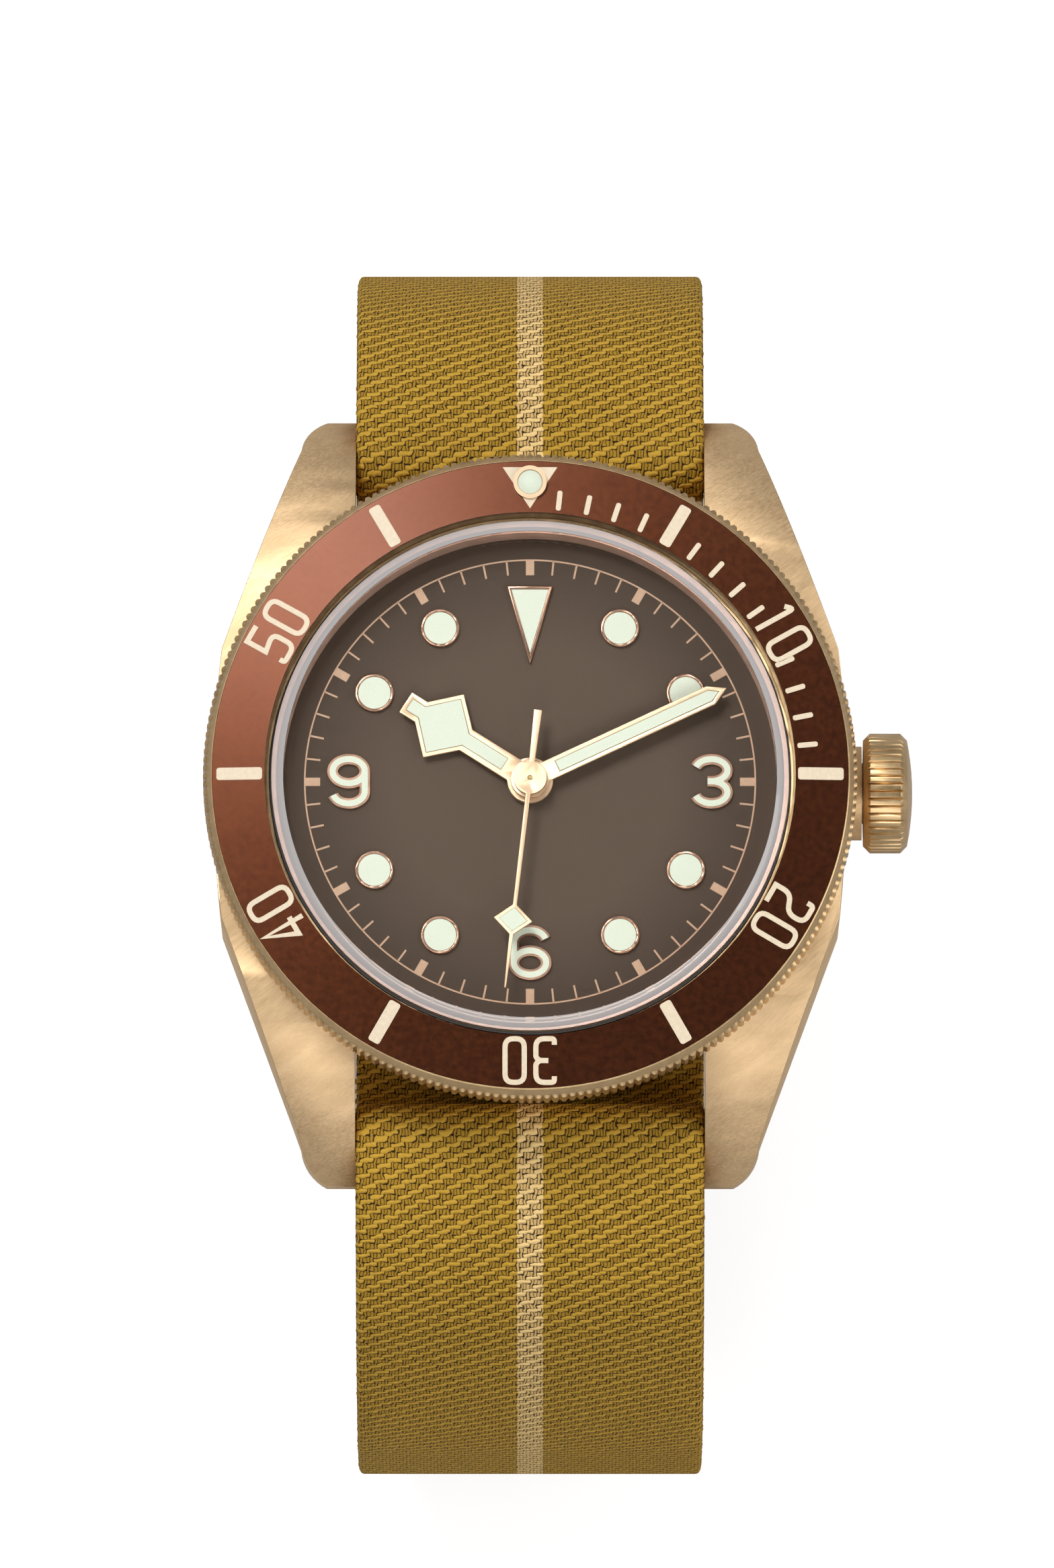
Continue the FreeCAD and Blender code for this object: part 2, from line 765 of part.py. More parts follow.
insert.pad("insert_bed_z - 1", "bezel_top_z + 1", cut=True, circles=[("0", "pearl_y", "pearl_cup + seat_gap")])
cup = Piece("bezel_pearl_cup", at=("0", "pearl_y", "head_height"))
cup.pad("insert_bed_z", "bezel_top_z + pearl_lift", circles=[("0", "0", "pearl_cup")])
cup.pad("bezel_top_z + pearl_lift - pearl_depth", "bezel_top_z + 1", cut=True, circles=[("0", "0", "pearl_dot")])
dot = Piece("bezel_pearl", at=("0", "pearl_y", "head_height"))
dot.turn("""
    0, bezel_top_z + pearl_lift - pearl_depth
    pearl_dot - seat_gap, bezel_top_z + pearl_lift - pearl_depth
    pearl_dot - seat_gap, bezel_top_z + pearl_lift - 0.1, ((pearl_dot - seat_gap) ^ 2 + pearl_rise ^ 2) / (2 * pearl_rise)
    0, bezel_top_z + pearl_lift - 0.1 + pearl_rise
""")
Piece("bezel_click_spring").turn("""
    click_inner, deck_z
    click_outer, deck_z
    click_outer, deck_z + click_plate
    click_inner, deck_z + click_plate
""")
Piece("bezel_retaining_wire").turn("""
    wire_ring_radius - wire_side, wire_z - wire_side
    wire_ring_radius + wire_side, wire_z - wire_side
    wire_ring_radius + wire_side, wire_z + wire_side
    wire_ring_radius - wire_side, wire_z + wire_side
""")

# --- crown and stem ---------------------------------------------------------
CROWN_AXIS = ("0", "0", "head_height + crown_z")
Piece("crown_tube", at=CROWN_AXIS).turn("""
    tube_inner_x, tube_bore
    tube_end_x, tube_bore
    tube_end_x, tube_neck_radius
    crown_inner_x - 0.1, tube_neck_radius
    crown_inner_x - 0.1, tube_collar_radius
    tube_step_x, tube_collar_radius
    tube_step_x, tube_radius - seat_gap
    tube_inner_x, tube_radius - seat_gap
""", axis="H_Axis")
crown = Piece("crown", at=CROWN_AXIS)
crown.turn("""
    crown_inner_x, crown_well_radius
    crown_inner_x, crown_radius - crown_bevel
    crown_inner_x + crown_bevel, crown_radius
    crown_outer_x - crown_dome - crown_bevel, crown_radius
    crown_outer_x - crown_dome, crown_radius - crown_bevel, -1 * ((crown_radius - crown_bevel) ^ 2 + crown_dome ^ 2) / (2 * crown_dome)
    crown_outer_x, 0
    crown_well_end, 0
    crown_well_end, crown_well_radius
""", axis="H_Axis")
flute = crown.pad("crown_inner_x - 1", "crown_outer_x + 1", plane="YZ", cut=True, loops=["""
    -1 * flute_half, crown_radius + 0.1
    0, crown_radius - flute_depth
    flute_half, crown_radius + 0.1
"""])
crown.around(flute, "crown_flutes")
Piece("crown_gasket", at=CROWN_AXIS).turn("""
    tube_end_x - 0.9, crown_seal_inner
    tube_end_x - 0.2, crown_seal_inner
    tube_end_x - 0.2, crown_well_radius - seat_gap
    tube_end_x - 0.9, crown_well_radius - seat_gap
""", axis="H_Axis")
Piece("winding_stem", at=CROWN_AXIS).turn("""
    stem_inner_x, 0
    crown_well_end, 0
    crown_well_end, tube_bore - 0.25
    crown_well_end - 0.6, tube_bore - 0.25
    crown_well_end - 0.6, stem_radius
    stem_inner_x, stem_radius
""", axis="H_Axis")
for name, low, high in (("sliding_pinion", "pinion_inner_x", "pinion_mid_x - running_gap"),
                        ("winding_pinion", "pinion_mid_x", "pinion_outer_x")):
    wheel = Piece(name, at=CROWN_AXIS)
    wheel.pad(low, high, plane="YZ", circles=[
        ("0", "0", "pinion_radius"), ("0", "0", "stem_radius + running_gap")])
    notch = wheel.pad(f"({low}) - 1", f"({high}) + 1", plane="YZ", cut=True, loops=["""
        -0.12, pinion_radius + 0.1
        0, pinion_radius - 0.2
        0.12, pinion_radius + 0.1
    """])
    wheel.around(notch, "16")

# --- movement frame -----------------------------------------------------------
BARREL = polar("module_main * (barrel_teeth + centre_leaves) / 2 + mesh_slack", "barrel_direction")
THIRD = polar("module_train * (centre_teeth + third_leaves) / 2 + mesh_slack", "third_direction")
ESCAPE = polar("module_train * (fourth_teeth + escape_leaves) / 2 + mesh_slack", "escape_direction")
WORKS = polar("module_works * (cannon_leaves + minute_teeth) / 2 + mesh_slack", "works_direction")
BALANCE = polar("balance_distance", "escape_direction")
PALLET = polar("module_train * (fourth_teeth + escape_leaves) / 2 + mesh_slack + pallet_distance",
               "escape_direction")

ring = Piece("movement_ring")
ring.turn("""
    plate_radius + seat_gap, ring_bottom
    ring_outer, ring_bottom
    ring_outer, dial_z
    plate_flange + seat_gap, dial_z
    plate_flange + seat_gap, plate_flange_z
    plate_radius + seat_gap, plate_flange_z
""")
ring.pad("plate_radius - 1", "ring_outer + 1", plane="YZ", cut=True,
         circles=[("0", "crown_z", "stem_hole")])

plate = Piece("main_plate")
plate.turn("""
    0, plate_z
    plate_radius, plate_z
    plate_radius, plate_flange_z
    plate_flange, plate_flange_z
    plate_flange, plate_top
    0, plate_top
""")
plate.pad("plate_z", "plate_z + recess_depth", cut=True, circles=[("0", "0", "recess_radius")])
plate.pad("plate_z - 1", "plate_z + recess_depth + 0.1", cut=True, circles=[(*THIRD, "recess_side")])
plate.pad("plate_z - 1", "plate_top + 1", cut=True, circles=[
    ("0", "0", "cannon_outer + running_gap"),
    (*THIRD, "jewel_hole"), (*ESCAPE, "jewel_hole"), (*BALANCE, "jewel_hole"), (*PALLET, "jewel_hole"),
    (*BARREL, "arbor_radius + running_gap"),
    (*polar("foot_place", "120"), "foot_radius + running_gap"),
    (*polar("foot_place", "330"), "foot_radius + running_gap")])
plate.pad("plate_top - 0.1", "plate_top + 0.95", circles=[(*WORKS, "foot_radius")])
plate.pad("stem_block_inner", "stem_block_outer", plane="YZ", loops=["""
    -1 * stem_block_half, stem_block_z
    stem_block_half, stem_block_z
    stem_block_half, plate_z + 0.1
    -1 * stem_block_half, plate_z + 0.1
"""])
plate.pad("stem_block_inner - 1", "stem_block_outer + 1", plane="YZ", cut=True,
          circles=[("0", "crown_z", "stem_radius + running_gap")])

BRIDGE_TOP = "bridge_z + bridge_thickness"


def bridge(node, posts, outline, jewels):
    """A bridge standing on round posts that reach the main plate."""
    made = Piece(node)
    made.pad("bridge_z", BRIDGE_TOP, loops=[outline])
    for post in posts:
        made.pad(f"({BRIDGE_TOP}) - 0.1", "plate_z", circles=[(*post, "post_radius")])
    made.pad("bridge_z - 1", "plate_z + 1", cut=True, circles=jewels)
    return made


BARREL_POSTS = [polar("11.4", "95"), polar("11.4", "175")]
TRAIN_POSTS = [polar("11.3", "275"), polar("11.3", "345")]
COCK_POSTS = [polar("11.4", "205")]
SCREWS = BARREL_POSTS + TRAIN_POSTS + COCK_POSTS
bridge("barrel_bridge", BARREL_POSTS, """
    -12.2, -0.6
    -1.4, 0.6
    1.6, 8.5
    0.6, 12.2, 12.4
""", [(*BARREL, "arbor_radius + running_gap"), *[(*post, "screw_shank + seat_gap") for post in BARREL_POSTS]])
bridge("train_bridge", TRAIN_POSTS, """
    -0.9, -12.1, 12.3
    12.0, -2.6
    9.5, -1.9
    -1.2, 0.4
    -2.6, -2.2
    -2.6, -3.9
    -0.2, -5.0
""", [(*THIRD, "jewel_hole"), (*ESCAPE, "jewel_hole"), ("0", "0", "seconds_arbor + running_gap"),
      *[(*post, "screw_shank + seat_gap") for post in TRAIN_POSTS]])
bridge("balance_cock", COCK_POSTS, """
    -11.9, -3.4
    -9.0, -3.4
    -3.6, -5.4
    -3.6, -7.6
    -10.6, -6.2, 12.3
""", [(*BALANCE, "jewel_hole"), *[(*post, "screw_shank + seat_gap") for post in COCK_POSTS]])

screw = rod("screw_head", "0", "screw_head_height").fuse(
    rod("screw_shank", "screw_head_height - 0.1", "screw_head_height + screw_shank_length"))
cutter = Part.makeBox(num("2.2 * screw_head"), num("screw_slot"), num("screw_slot"),
                      Vector(num("-1.1 * screw_head"), num("-0.5 * screw_slot"), 0))
shaped("bridge_screws", copies(screw.cut(cutter), [
    (num(x), num(y), num("bridge_z - screw_head_height")) for x, y in SCREWS]))

# --- power and train -----------------------------------------------------------
barrel_spin = meshed("0", "centre_leaves", "barrel_teeth", "barrel_direction")
drum = toothed("barrel_teeth", "module_main", "barrel_top - 0.3", "barrel_top", "arbor_radius + running_gap")
drum = drum.fuse(tube("barrel_radius - barrel_wall", "barrel_radius", "barrel_low", "barrel_top"))
drum = drum.fuse(tube("arbor_radius + running_gap", "barrel_radius", "barrel_low", "barrel_low + 0.2"))
shaped("barrel_drum", drum.removeSplitter(), at=(*BARREL, "head_height"), spin=barrel_spin)
arbor = rod("arbor_radius", "bridge_z - 0.6", "plate_top - 0.1")
arbor = arbor.fuse(rod("spring_start - spring_width", "barrel_low + 0.25", "barrel_top - 0.35"))
shaped("barrel_arbor", arbor, at=(*BARREL, "head_height"))
shaped("mainspring", spiral("spring_start + 0.1", "spring_pitch", "spring_width", "barrel_low + 0.28",
                            "barrel_top - 0.38", "spring_half_turns"), at=(*BARREL, "head_height"))
shaped("ratchet_wheel", toothed("ratchet_teeth", "2 * ratchet_radius / ratchet_teeth", "bridge_z - 0.3",
                                "bridge_z - running_gap", "arbor_radius + 0.01"),
       at=(*BARREL, "head_height"))

centre = toothed("centre_teeth", "module_train", "plate_z + 0.05", "plate_z + 0.25")
centre = centre.fuse(toothed("centre_leaves", "module_main", "barrel_top - 0.4", "plate_z + 0.06"))
centre = centre.fuse(rod("centre_tube_outer", "plate_z", "deck_z - 1"))
centre = centre.cut(rod("centre_tube_inner", "0", "12"))
shaped("centre_wheel", centre)

third_spin = meshed("0", "centre_teeth", "third_leaves", "third_direction")
third = toothed("third_teeth", "module_third", "5.2", "5.4")
third = third.fuse(toothed("third_leaves", "module_train", "5.4", "plate_z + 0.3"))
third = third.fuse(rod("jewel_hole - running_gap", "bridge_z + 0.05", "plate_top - 0.05"))
shaped("third_wheel", third, at=(*THIRD, "head_height"), spin=third_spin)

fourth_spin = meshed(third_spin, "third_teeth", "fourth_leaves", "third_direction + 180")
fourth = toothed("fourth_teeth", "module_train", "4.45", "4.65")
fourth = fourth.fuse(toothed("fourth_leaves", "module_third", "4.65", "5.45"))
fourth = fourth.fuse(rod("seconds_arbor", "bridge_z + 0.05", "seconds_hand_z + hand_thickness + 0.1"))
shaped("fourth_wheel", fourth, spin=fourth_spin)

escape_spin = meshed(fourth_spin, "fourth_teeth", "escape_leaves", "escape_direction")
escape = toothed("escape_teeth", "2 * escape_radius / escape_teeth", "5.65", "5.85")
escape = escape.fuse(toothed("escape_leaves", "module_train", "4.4", "5.0"))
escape = escape.fuse(rod("jewel_hole - running_gap", "bridge_z + 0.05", "plate_top - 0.05"))
shaped("escape_wheel", escape, at=(*ESCAPE, "head_height"), spin=escape_spin)

fork = Piece("pallet_fork", at=(*PALLET, "head_height"), spin="escape_direction")
fork.pad("5.6", "5.85", loops=["""
    -0.35, -1.25
    -0.1, -1.3
    0.25, -0.3
    1.75, -0.16
    1.75, 0.16
    0.25, 0.3
    -0.1, 1.3
    -0.35, 1.25
    -0.25, 0
"""])
fork.pad("bridge_z + 0.9", "plate_top - 0.05", circles=[("0", "0", "jewel_hole - running_gap")])

balance = tube("balance_radius - balance_rim", "balance_radius", "4.45", "4.9")
for turn in range(3):
    spoke = Part.makeBox(num("balance_radius - 0.2"), 0.4, 0.2, Vector(0, -0.2, 4.55))
    spoke.rotate(ORIGIN, UP, turn * TURN / 3)
    balance = balance.fuse(spoke)
balance = balance.fuse(rod("0.5", "4.5", "4.8"))
balance = balance.fuse(rod("jewel_hole - running_gap", "bridge_z + 0.05", "plate_top - 0.05"))
shaped("balance_wheel", balance.removeSplitter(), at=(*BALANCE, "head_height"))
shaped("hairspring", spiral("hair_start", "hair_pitch", "hair_width", "bridge_z + 0.76", "bridge_z + 0.9",
                           "hair_half_turns"),
       at=(*BALANCE, "head_height"))

# --- motion work under the dial -----------------------------------------------------
cannon = toothed("cannon_leaves", "module_works", "7.6", "7.95")
cannon = cannon.fuse(rod("cannon_outer", "plate_z + recess_depth + 0.1", "minute_hand_z + hand_thickness"))
cannon = cannon.cut(rod("cannon_inner", "0", "14"))
shaped("cannon_pinion", cannon)
works_spin = meshed("0", "cannon_leaves", "minute_teeth", "works_direction")
minute = toothed("minute_teeth", "module_works", "7.65", "7.85")
minute = minute.fuse(toothed("minute_leaves", "module_hour", "7.85", "8.35"))
minute = minute.cut(rod("foot_radius + running_gap", "0", "14"))
shaped("minute_wheel", minute, at=(*WORKS, "head_height"), spin=works_spin)
hour_spin = meshed(works_spin, "minute_leaves", "hour_teeth", "works_direction + 180")
hour = toothed("hour_teeth", "module_hour", "8.05", "8.3")
hour = hour.fuse(rod("hour_pipe_outer", "8.0", "hour_hand_z + hand_thickness"))
hour = hour.cut(rod("hour_pipe_inner", "0", "14"))
shaped("hour_wheel", hour, spin=hour_spin)

# --- automatic winding ------------------------------------------------------------
rotor = Piece("rotor")
rotor.turn("""
    bearing_radius + running_gap, rotor_web_low
    rotor_weight_inner, rotor_web_low
    rotor_weight_inner, rotor_low
    rotor_radius, rotor_low
    rotor_radius, rotor_top
    rotor_weight_inner, rotor_top
    rotor_weight_inner, rotor_web_top
    bearing_radius + running_gap, rotor_web_top
""")
rotor.pad("0", "rotor_top + 1", cut=True, loops=["""
    -1 * rotor_radius - 1, -0.6
    -1 * rotor_hub, -0.6
    0, rotor_hub
    rotor_hub, -0.6
    rotor_radius + 1, -0.6
    rotor_radius + 1, rotor_radius + 1
    -1 * rotor_radius - 1, rotor_radius + 1
"""])
Piece("rotor_bearing").turn("""
    0, rotor_low
    bearing_radius + 0.3, rotor_low
    bearing_radius + 0.3, rotor_web_low - 0.05
    bearing_radius, rotor_web_low - 0.05
    bearing_radius, bridge_z
    0, bridge_z
""")

# --- dial and hands ---------------------------------------------------------------
face = Piece("dial")
face.pad("dial_z", "dial_z + dial_thickness", circles=[
    ("0", "0", "dial_radius"), ("0", "0", "dial_hole")])
for direction in ("120", "330"):
    face.pad("dial_z - foot_length", "dial_z + 0.1",
             circles=[(*polar("foot_place", direction), "foot_radius")])

DIAL_TOP = num("dial_z + dial_thickness")
DOTS = [1, 2, 4, 5, 7, 8, 10, 11]


def round_spots(radius, low, high):
    spots = []
    for hour_mark in DOTS:
        angle = math.radians(hour_mark * 30)
        where = (num("marker_radius") * math.sin(angle), num("marker_radius") * math.cos(angle), 0)
        spots.append(where)
    return copies(rod(radius, low, high), spots)


def pointer(inset, low, high):
    """The twelve o'clock triangle, drawn in by an even margin."""
    gap = num(inset)
    half, top, tip = num("triangle_half"), num("triangle_top"), num("triangle_tip")
    lean = math.hypot(half, top - tip) / half
    low_tip = tip + gap * lean
    high = num(high)
    reach = (top - gap - low_tip) * half / (top - tip)
    points = [Vector(-reach, top - gap, num(low)), Vector(reach, top - gap, num(low)), Vector(0, low_tip, num(low))]
    return Part.Face(Part.makePolygon(points + points[:1])).extrude(UP * (high - num(low)))


MARK_LOW = "dial_z + dial_thickness"
MARK_HIGH = "dial_z + dial_thickness + marker_height"
spots = round_spots("dot_radius", MARK_LOW, MARK_HIGH).cut(
    round_spots("dot_lume + seat_gap", f"{MARK_LOW} + 0.08", f"{MARK_HIGH} + 1"))
triangle = pointer("0", MARK_LOW, MARK_HIGH).cut(
    pointer("dot_radius - dot_lume", f"{MARK_LOW} + 0.08", f"{MARK_HIGH} + 1"))
shaped("hour_marker_frames", Part.makeCompound(spots.Solids + triangle.Solids))
fills = round_spots("dot_lume", f"{MARK_LOW} + 0.08", f"{MARK_HIGH} - 0.04")
fill = pointer("dot_radius - dot_lume + seat_gap", f"{MARK_LOW} + 0.08", f"{MARK_HIGH} - 0.04")
shaped("hour_marker_lume", Part.makeCompound(fills.Solids + [fill]))


def hand(node, level, angle, outline, hub, bore, lume):
    """A flat hand with a hub, a bore and a framed lume fill of its own node."""
    made = Piece(node, at=("0", "0", f"head_height + {level}"), spin=f"-1 * {angle}")
    made.pad("0", "hand_thickness", loops=[outline])
    made.pad("-0.15", "hand_thickness", circles=[("0", "0", hub)])
    for window in lume:
        made.pad("0.06", "hand_thickness + 1", cut=True, loops=[window])
    if bore:
        made.pad("-1", "hand_thickness + 1", cut=True, circles=[("0", "0", bore)])
    return made


def filling(node, level, angle, window):
    made = Piece(node, at=("0", "0", f"head_height + {level}"), spin=f"-1 * {angle}")
    made.pad("0.06", "hand_thickness + 0.02", loops=[window])
    return made


HOUR_OUTLINE = """
    -1 * hour_arm, 0
    hour_arm, 0
    hour_arm, hour_arm_end
    hour_corner_x, hour_corner_y
    hour_tip, hour_neck
    hour_tip, hour_length
    -1 * hour_tip, hour_length
    -1 * hour_tip, hour_neck
    -1 * hour_corner_x, hour_corner_y
    -1 * hour_arm, hour_arm_end
"""


def hour_window(fit):
    """The one opening that runs through arm, square and tip."""
    arm, tip = f"(hour_arm - 0.37 - {fit})", f"(hour_tip - 0.36 - {fit})"
    corner = f"(hour_corner_x - 0.39 - 1.5 * {fit})"
    low, high = f"hour_arm_end + 0.02 + {fit}", f"hour_neck - 0.04 - {fit}"
    start, end = f"window_start + {fit}", f"hour_length - 0.3 - {fit}"
    return f"""
        {arm}, {start}
        {arm}, {low}
        {corner}, hour_corner_y
        {tip}, {high}
        {tip}, {end}
        -1 * {tip}, {end}
        -1 * {tip}, {high}
        -1 * {corner}, hour_corner_y
        -1 * {arm}, {low}
        -1 * {arm}, {start}
    """


def minute_window(fit):
    half = f"(minute_half - lume_margin - {fit})"
    return f"""
        {half}, window_start + {fit}
        {half}, minute_shoulder - 0.08 - {fit}
        0, minute_length - 0.57 - 2 * {fit}
        -1 * {half}, minute_shoulder - 0.08 - {fit}
        -1 * {half}, window_start + {fit}
    """


def seconds_window(fit):
    half, reach = f"(diamond_half * diamond_window - {fit})", f"(diamond_reach * diamond_window - {fit})"
    return f"""
        0, diamond_y - {reach}
        {half}, diamond_y
        0, diamond_y + {reach}
        -1 * {half}, diamond_y
    """


FIT = "lume_fit"
hand("hour_hand", "hour_hand_z", "hour_angle", HOUR_OUTLINE, "hour_hub", "hour_pipe_outer", [hour_window("0")])
filling("hour_hand_lume", "hour_hand_z", "hour_angle", hour_window(FIT))
MINUTE_OUTLINE = """
    -1 * minute_half, 0
    minute_half, 0
    minute_half, minute_shoulder
    0, minute_length
    -1 * minute_half, minute_shoulder
"""
hand("minute_hand", "minute_hand_z", "minute_angle", MINUTE_OUTLINE, "minute_hub", "cannon_outer",
     [minute_window("0")])
filling("minute_hand_lume", "minute_hand_z", "minute_angle", minute_window(FIT))
SECONDS_OUTLINE = """
    -1 * seconds_tail_half, -1 * seconds_tail
    seconds_tail_half, -1 * seconds_tail
    seconds_half + 0.03, 0
    seconds_half, diamond_y - diamond_reach + 0.11
    diamond_half, diamond_y
    seconds_half, diamond_y + diamond_reach - 0.11
    0.06, seconds_length
    -0.06, seconds_length
    -1 * seconds_half, diamond_y + diamond_reach - 0.11
    -1 * diamond_half, diamond_y
    -1 * seconds_half, diamond_y - diamond_reach + 0.11
    -1 * seconds_half - 0.03, 0
"""
hand("seconds_hand", "seconds_hand_z", "seconds_angle", SECONDS_OUTLINE, "seconds_hub", "seconds_arbor",
     [seconds_window("0")])
filling("seconds_hand_lume", "seconds_hand_z", "seconds_angle", seconds_window(FIT))

# --- spring bars ---------------------------------------------------------------------
BARS = [(0, num("bar_y"), num("head_height + bar_z")), (0, -num("bar_y"), num("head_height + bar_z"))]
half_bar = num("bar_half")
sleeve = Part.makeCylinder(num("bar_radius"), 2 * half_bar, Vector(-half_bar, 0, 0), ALONG)
sleeve = sleeve.cut(Part.makeCylinder(num("bar_bore"), 2 * half_bar + 2, Vector(-half_bar - 1, 0, 0), ALONG))
shaped("spring_bars", copies(sleeve, BARS), at=("0", "0", "0"))
for node, side in (("spring_bar_tips_right", 1), ("spring_bar_tips_left", -1)):
    inner = num("bar_half - tip_inside")
    reach = num("lug_inner_x + tip_depth") - inner
    pin = Part.makeCylinder(num("tip_radius"), reach, Vector(side * inner, 0, 0), ALONG * side)
    head = Part.makeCylinder(num("bar_bore - running_gap"), 0.6, Vector(side * inner, 0, 0), ALONG * side)
    shaped(node, copies(pin.fuse(head), BARS), at=("0", "0", "0"))

# --- strap -----------------------------------------------------------------------------


class Band:
    """A run of straight and bent lengths in the side plane, built up into one solid."""

    def __init__(self, y, z, heading):
        self.at = Vector(0, y, z)
        self.heading = math.radians(heading)
        self.runs = []

    def along(self, angle):
        return Vector(0, math.cos(angle), math.sin(angle))

    def line(self, length):
        end = self.at + self.along(self.heading) * length
        self.runs.append(("line", self.at, end, self.heading, self.heading, 0))
        self.at = end

    def bend(self, radius, degrees):
        """Positive degrees turn to the left of travel."""
        sweep = math.radians(degrees)
        sign = math.copysign(1, degrees)
        centre = self.at + self.along(self.heading + sign * math.pi / 2) * radius
        after = self.heading + sweep
        end = centre + self.along(after - sign * math.pi / 2) * radius
        self.runs.append(("bend", self.at, end, self.heading, after, centre))
        self.at = end
        self.heading = after

    def side(self, run, offset):
        kind, start, end, before, after, centre = run
        a = start + self.along(before + math.pi / 2) * offset
        b = end + self.along(after + math.pi / 2) * offset
        if kind == "line":
            return Part.makeLine(a, b)
        middle_heading = (before + after) / 2
        sign = math.copysign(1, after - before)
        radius = (start - centre).Length - sign * offset
        middle = centre + self.along(middle_heading - sign * math.pi / 2) * radius
        return Part.Arc(a, middle, b).toShape()

    def solid(self, thick, width):
        half = thick / 2
        left = [self.side(run, half) for run in self.runs]
        right = [self.side(run, -half) for run in self.runs]
        first, last = self.runs[0], self.runs[-1]
        caps = [
            Part.makeLine(first[1] + self.along(first[3] + math.pi / 2) * half,
                          first[1] - self.along(first[3] + math.pi / 2) * half),
            Part.makeLine(last[2] + self.along(last[4] + math.pi / 2) * half,
                          last[2] - self.along(last[4] + math.pi / 2) * half),
        ]
        wire = Part.Wire(Part.__sortEdges__(left + right + caps))
        made = Part.Face(wire).extrude(ALONG * width)
        made.translate(ALONG * (-width / 2))
        return made


def strap_side(final_level):
    """From the middle of the caseback over the bar and round to the bottom run."""
    band = Band(0, num("head_height - strap_gap - strap_thick / 2"), 0)
    rise_y = num("bar_y - bar_radius - bar_wrap_gap - strap_thick / 2")
    band.line(rise_y - num("turn_up_radius"))
    band.bend(num("turn_up_radius"), 90)
    band.line(num("head_height + bar_z") - band.at.z)
    band.bend(num("bar_radius + bar_wrap_gap + strap_thick / 2"), -90 - num("leave_slope"))
    band.bend(num("shoulder_radius"), -num("shoulder_turn"))
    band.bend(num("side_radius"), -90 + num("leave_slope + shoulder_turn"))
    turn = math.radians(num("lower_turn"))
    bends = num("lower_radius") * math.sin(turn) + num("floor_radius") * (1 - math.sin(turn))
    band.line(band.at.z - final_level - bends)
    band.bend(num("lower_radius"), -num("lower_turn"))
    band.bend(num("floor_radius"), num("lower_turn") - 90)
    return band


width, thick = num("strap_width"), num("strap_thick")
upper = strap_side(num("inner_run_z"))
bottom_start = upper.at.y
upper.line(upper.at.y - num("buckle_bar_y"))
upper_band = upper.solid(thick, width)

lower = strap_side(num("under_run_z"))
step = num("tail_step_slope")
drop = num("under_run_z - tail_run_z")
bend_drop = 2 * num("tail_step_radius") * (1 - math.cos(math.radians(step)))
lower.line(lower.at.y + num("tail_step_start"))
lower.bend(num("tail_step_radius"), step)
lower.line((drop - bend_drop) / math.sin(math.radians(step)))
lower.bend(num("tail_step_radius"), -step)
lower.line(bottom_start + lower.at.y)
lower.bend(num("floor_radius + inner_run_z - tail_run_z"), -num("tail_turn"))
lower_band = lower.solid(thick, width).mirror(ORIGIN, Vector(0, 1, 0))

bar_y, bar_z = num("buckle_bar_y"), num("buckle_bar_z")
fold = Part.makeCylinder(num("fold_outer"), width, Vector(-width / 2, bar_y, bar_z), ALONG)
fold = fold.fuse(Part.makeBox(width, num("fold_end_y") - bar_y, num("fold_top_z - inner_run_z"),
                              Vector(-width / 2, bar_y, num("inner_run_z"))))
strap = upper_band.fuse(lower_band).fuse(fold)
strap = strap.cut(Part.makeCylinder(num("fold_bore"), width + 2, Vector(-width / 2 - 1, bar_y, bar_z), ALONG))
slot_half = num("fold_slot_half")
strap = strap.cut(Part.makeBox(
    2 * slot_half, 4.2, 6, Vector(-slot_half, bar_y - 2.1, num("tail_run_z") + thick / 2 + 0.05)))
slot_front, slot_back = num("tang_slot_front"), num("tang_slot_back")
strap = strap.cut(Part.makeBox(
    2 * slot_half, slot_back - slot_front, 6, Vector(-slot_half, slot_front, -1)))
for place_y in (-1, -2):
    hole_y = slot_front + place_y * num("eyelet_pitch") + 1.5
    strap = strap.cut(Part.makeCylinder(num("eyelet_radius"), 3, Vector(0, hole_y, 2.5), UP))
hole_y = slot_back + num("eyelet_pitch") + 3
strap = strap.cut(Part.makeCylinder(num("eyelet_radius"), 1.6, Vector(0, hole_y, 0.8), UP))
shaped("strap", strap.removeSplitter(), at=("0", "0", "0"))

# --- buckle and keepers -------------------------------------------------------------------
GROUND = ("0", "0", "0")
frame = Piece("buckle_frame", at=GROUND)
frame.pad("0", "frame_height", loops=["""
    -1 * frame_outer_x, frame_back_y
    -1 * frame_outer_x, frame_front_y + frame_corner, frame_corner
    -1 * frame_outer_x + frame_corner, frame_front_y
    frame_outer_x - frame_corner, frame_front_y, frame_corner
    frame_outer_x, frame_front_y + frame_corner
    frame_outer_x, frame_back_y
    frame_inner_x, frame_back_y
    frame_inner_x, frame_mouth_y
    -1 * frame_inner_x, frame_mouth_y
    -1 * frame_inner_x, frame_back_y
"""])
for side in ("-1", "1"):
    frame.pad("frame_height - 0.1", "frame_ear_height", loops=[f"""
        {side} * frame_inner_x, frame_ear_y
        {side} * frame_outer_x, frame_ear_y
        {side} * frame_outer_x, frame_back_y
        {side} * frame_inner_x, frame_back_y
    """])
frame.pad("-1 * frame_outer_x + 0.6", "frame_outer_x - 0.6", plane="YZ", cut=True,
          circles=[("buckle_bar_y", "buckle_bar_z", "buckle_bar_radius")])
frame.pad("-1 * tang_half - running_gap", "tang_half + running_gap", plane="YZ", cut=True, loops=["""
    tang_notch_y, -1
    frame_mouth_y + 1, -1
    frame_mouth_y + 1, tang_notch + 0.75
    tang_notch_y, tang_notch
"""])
bar = Piece("buckle_bar", at=GROUND)
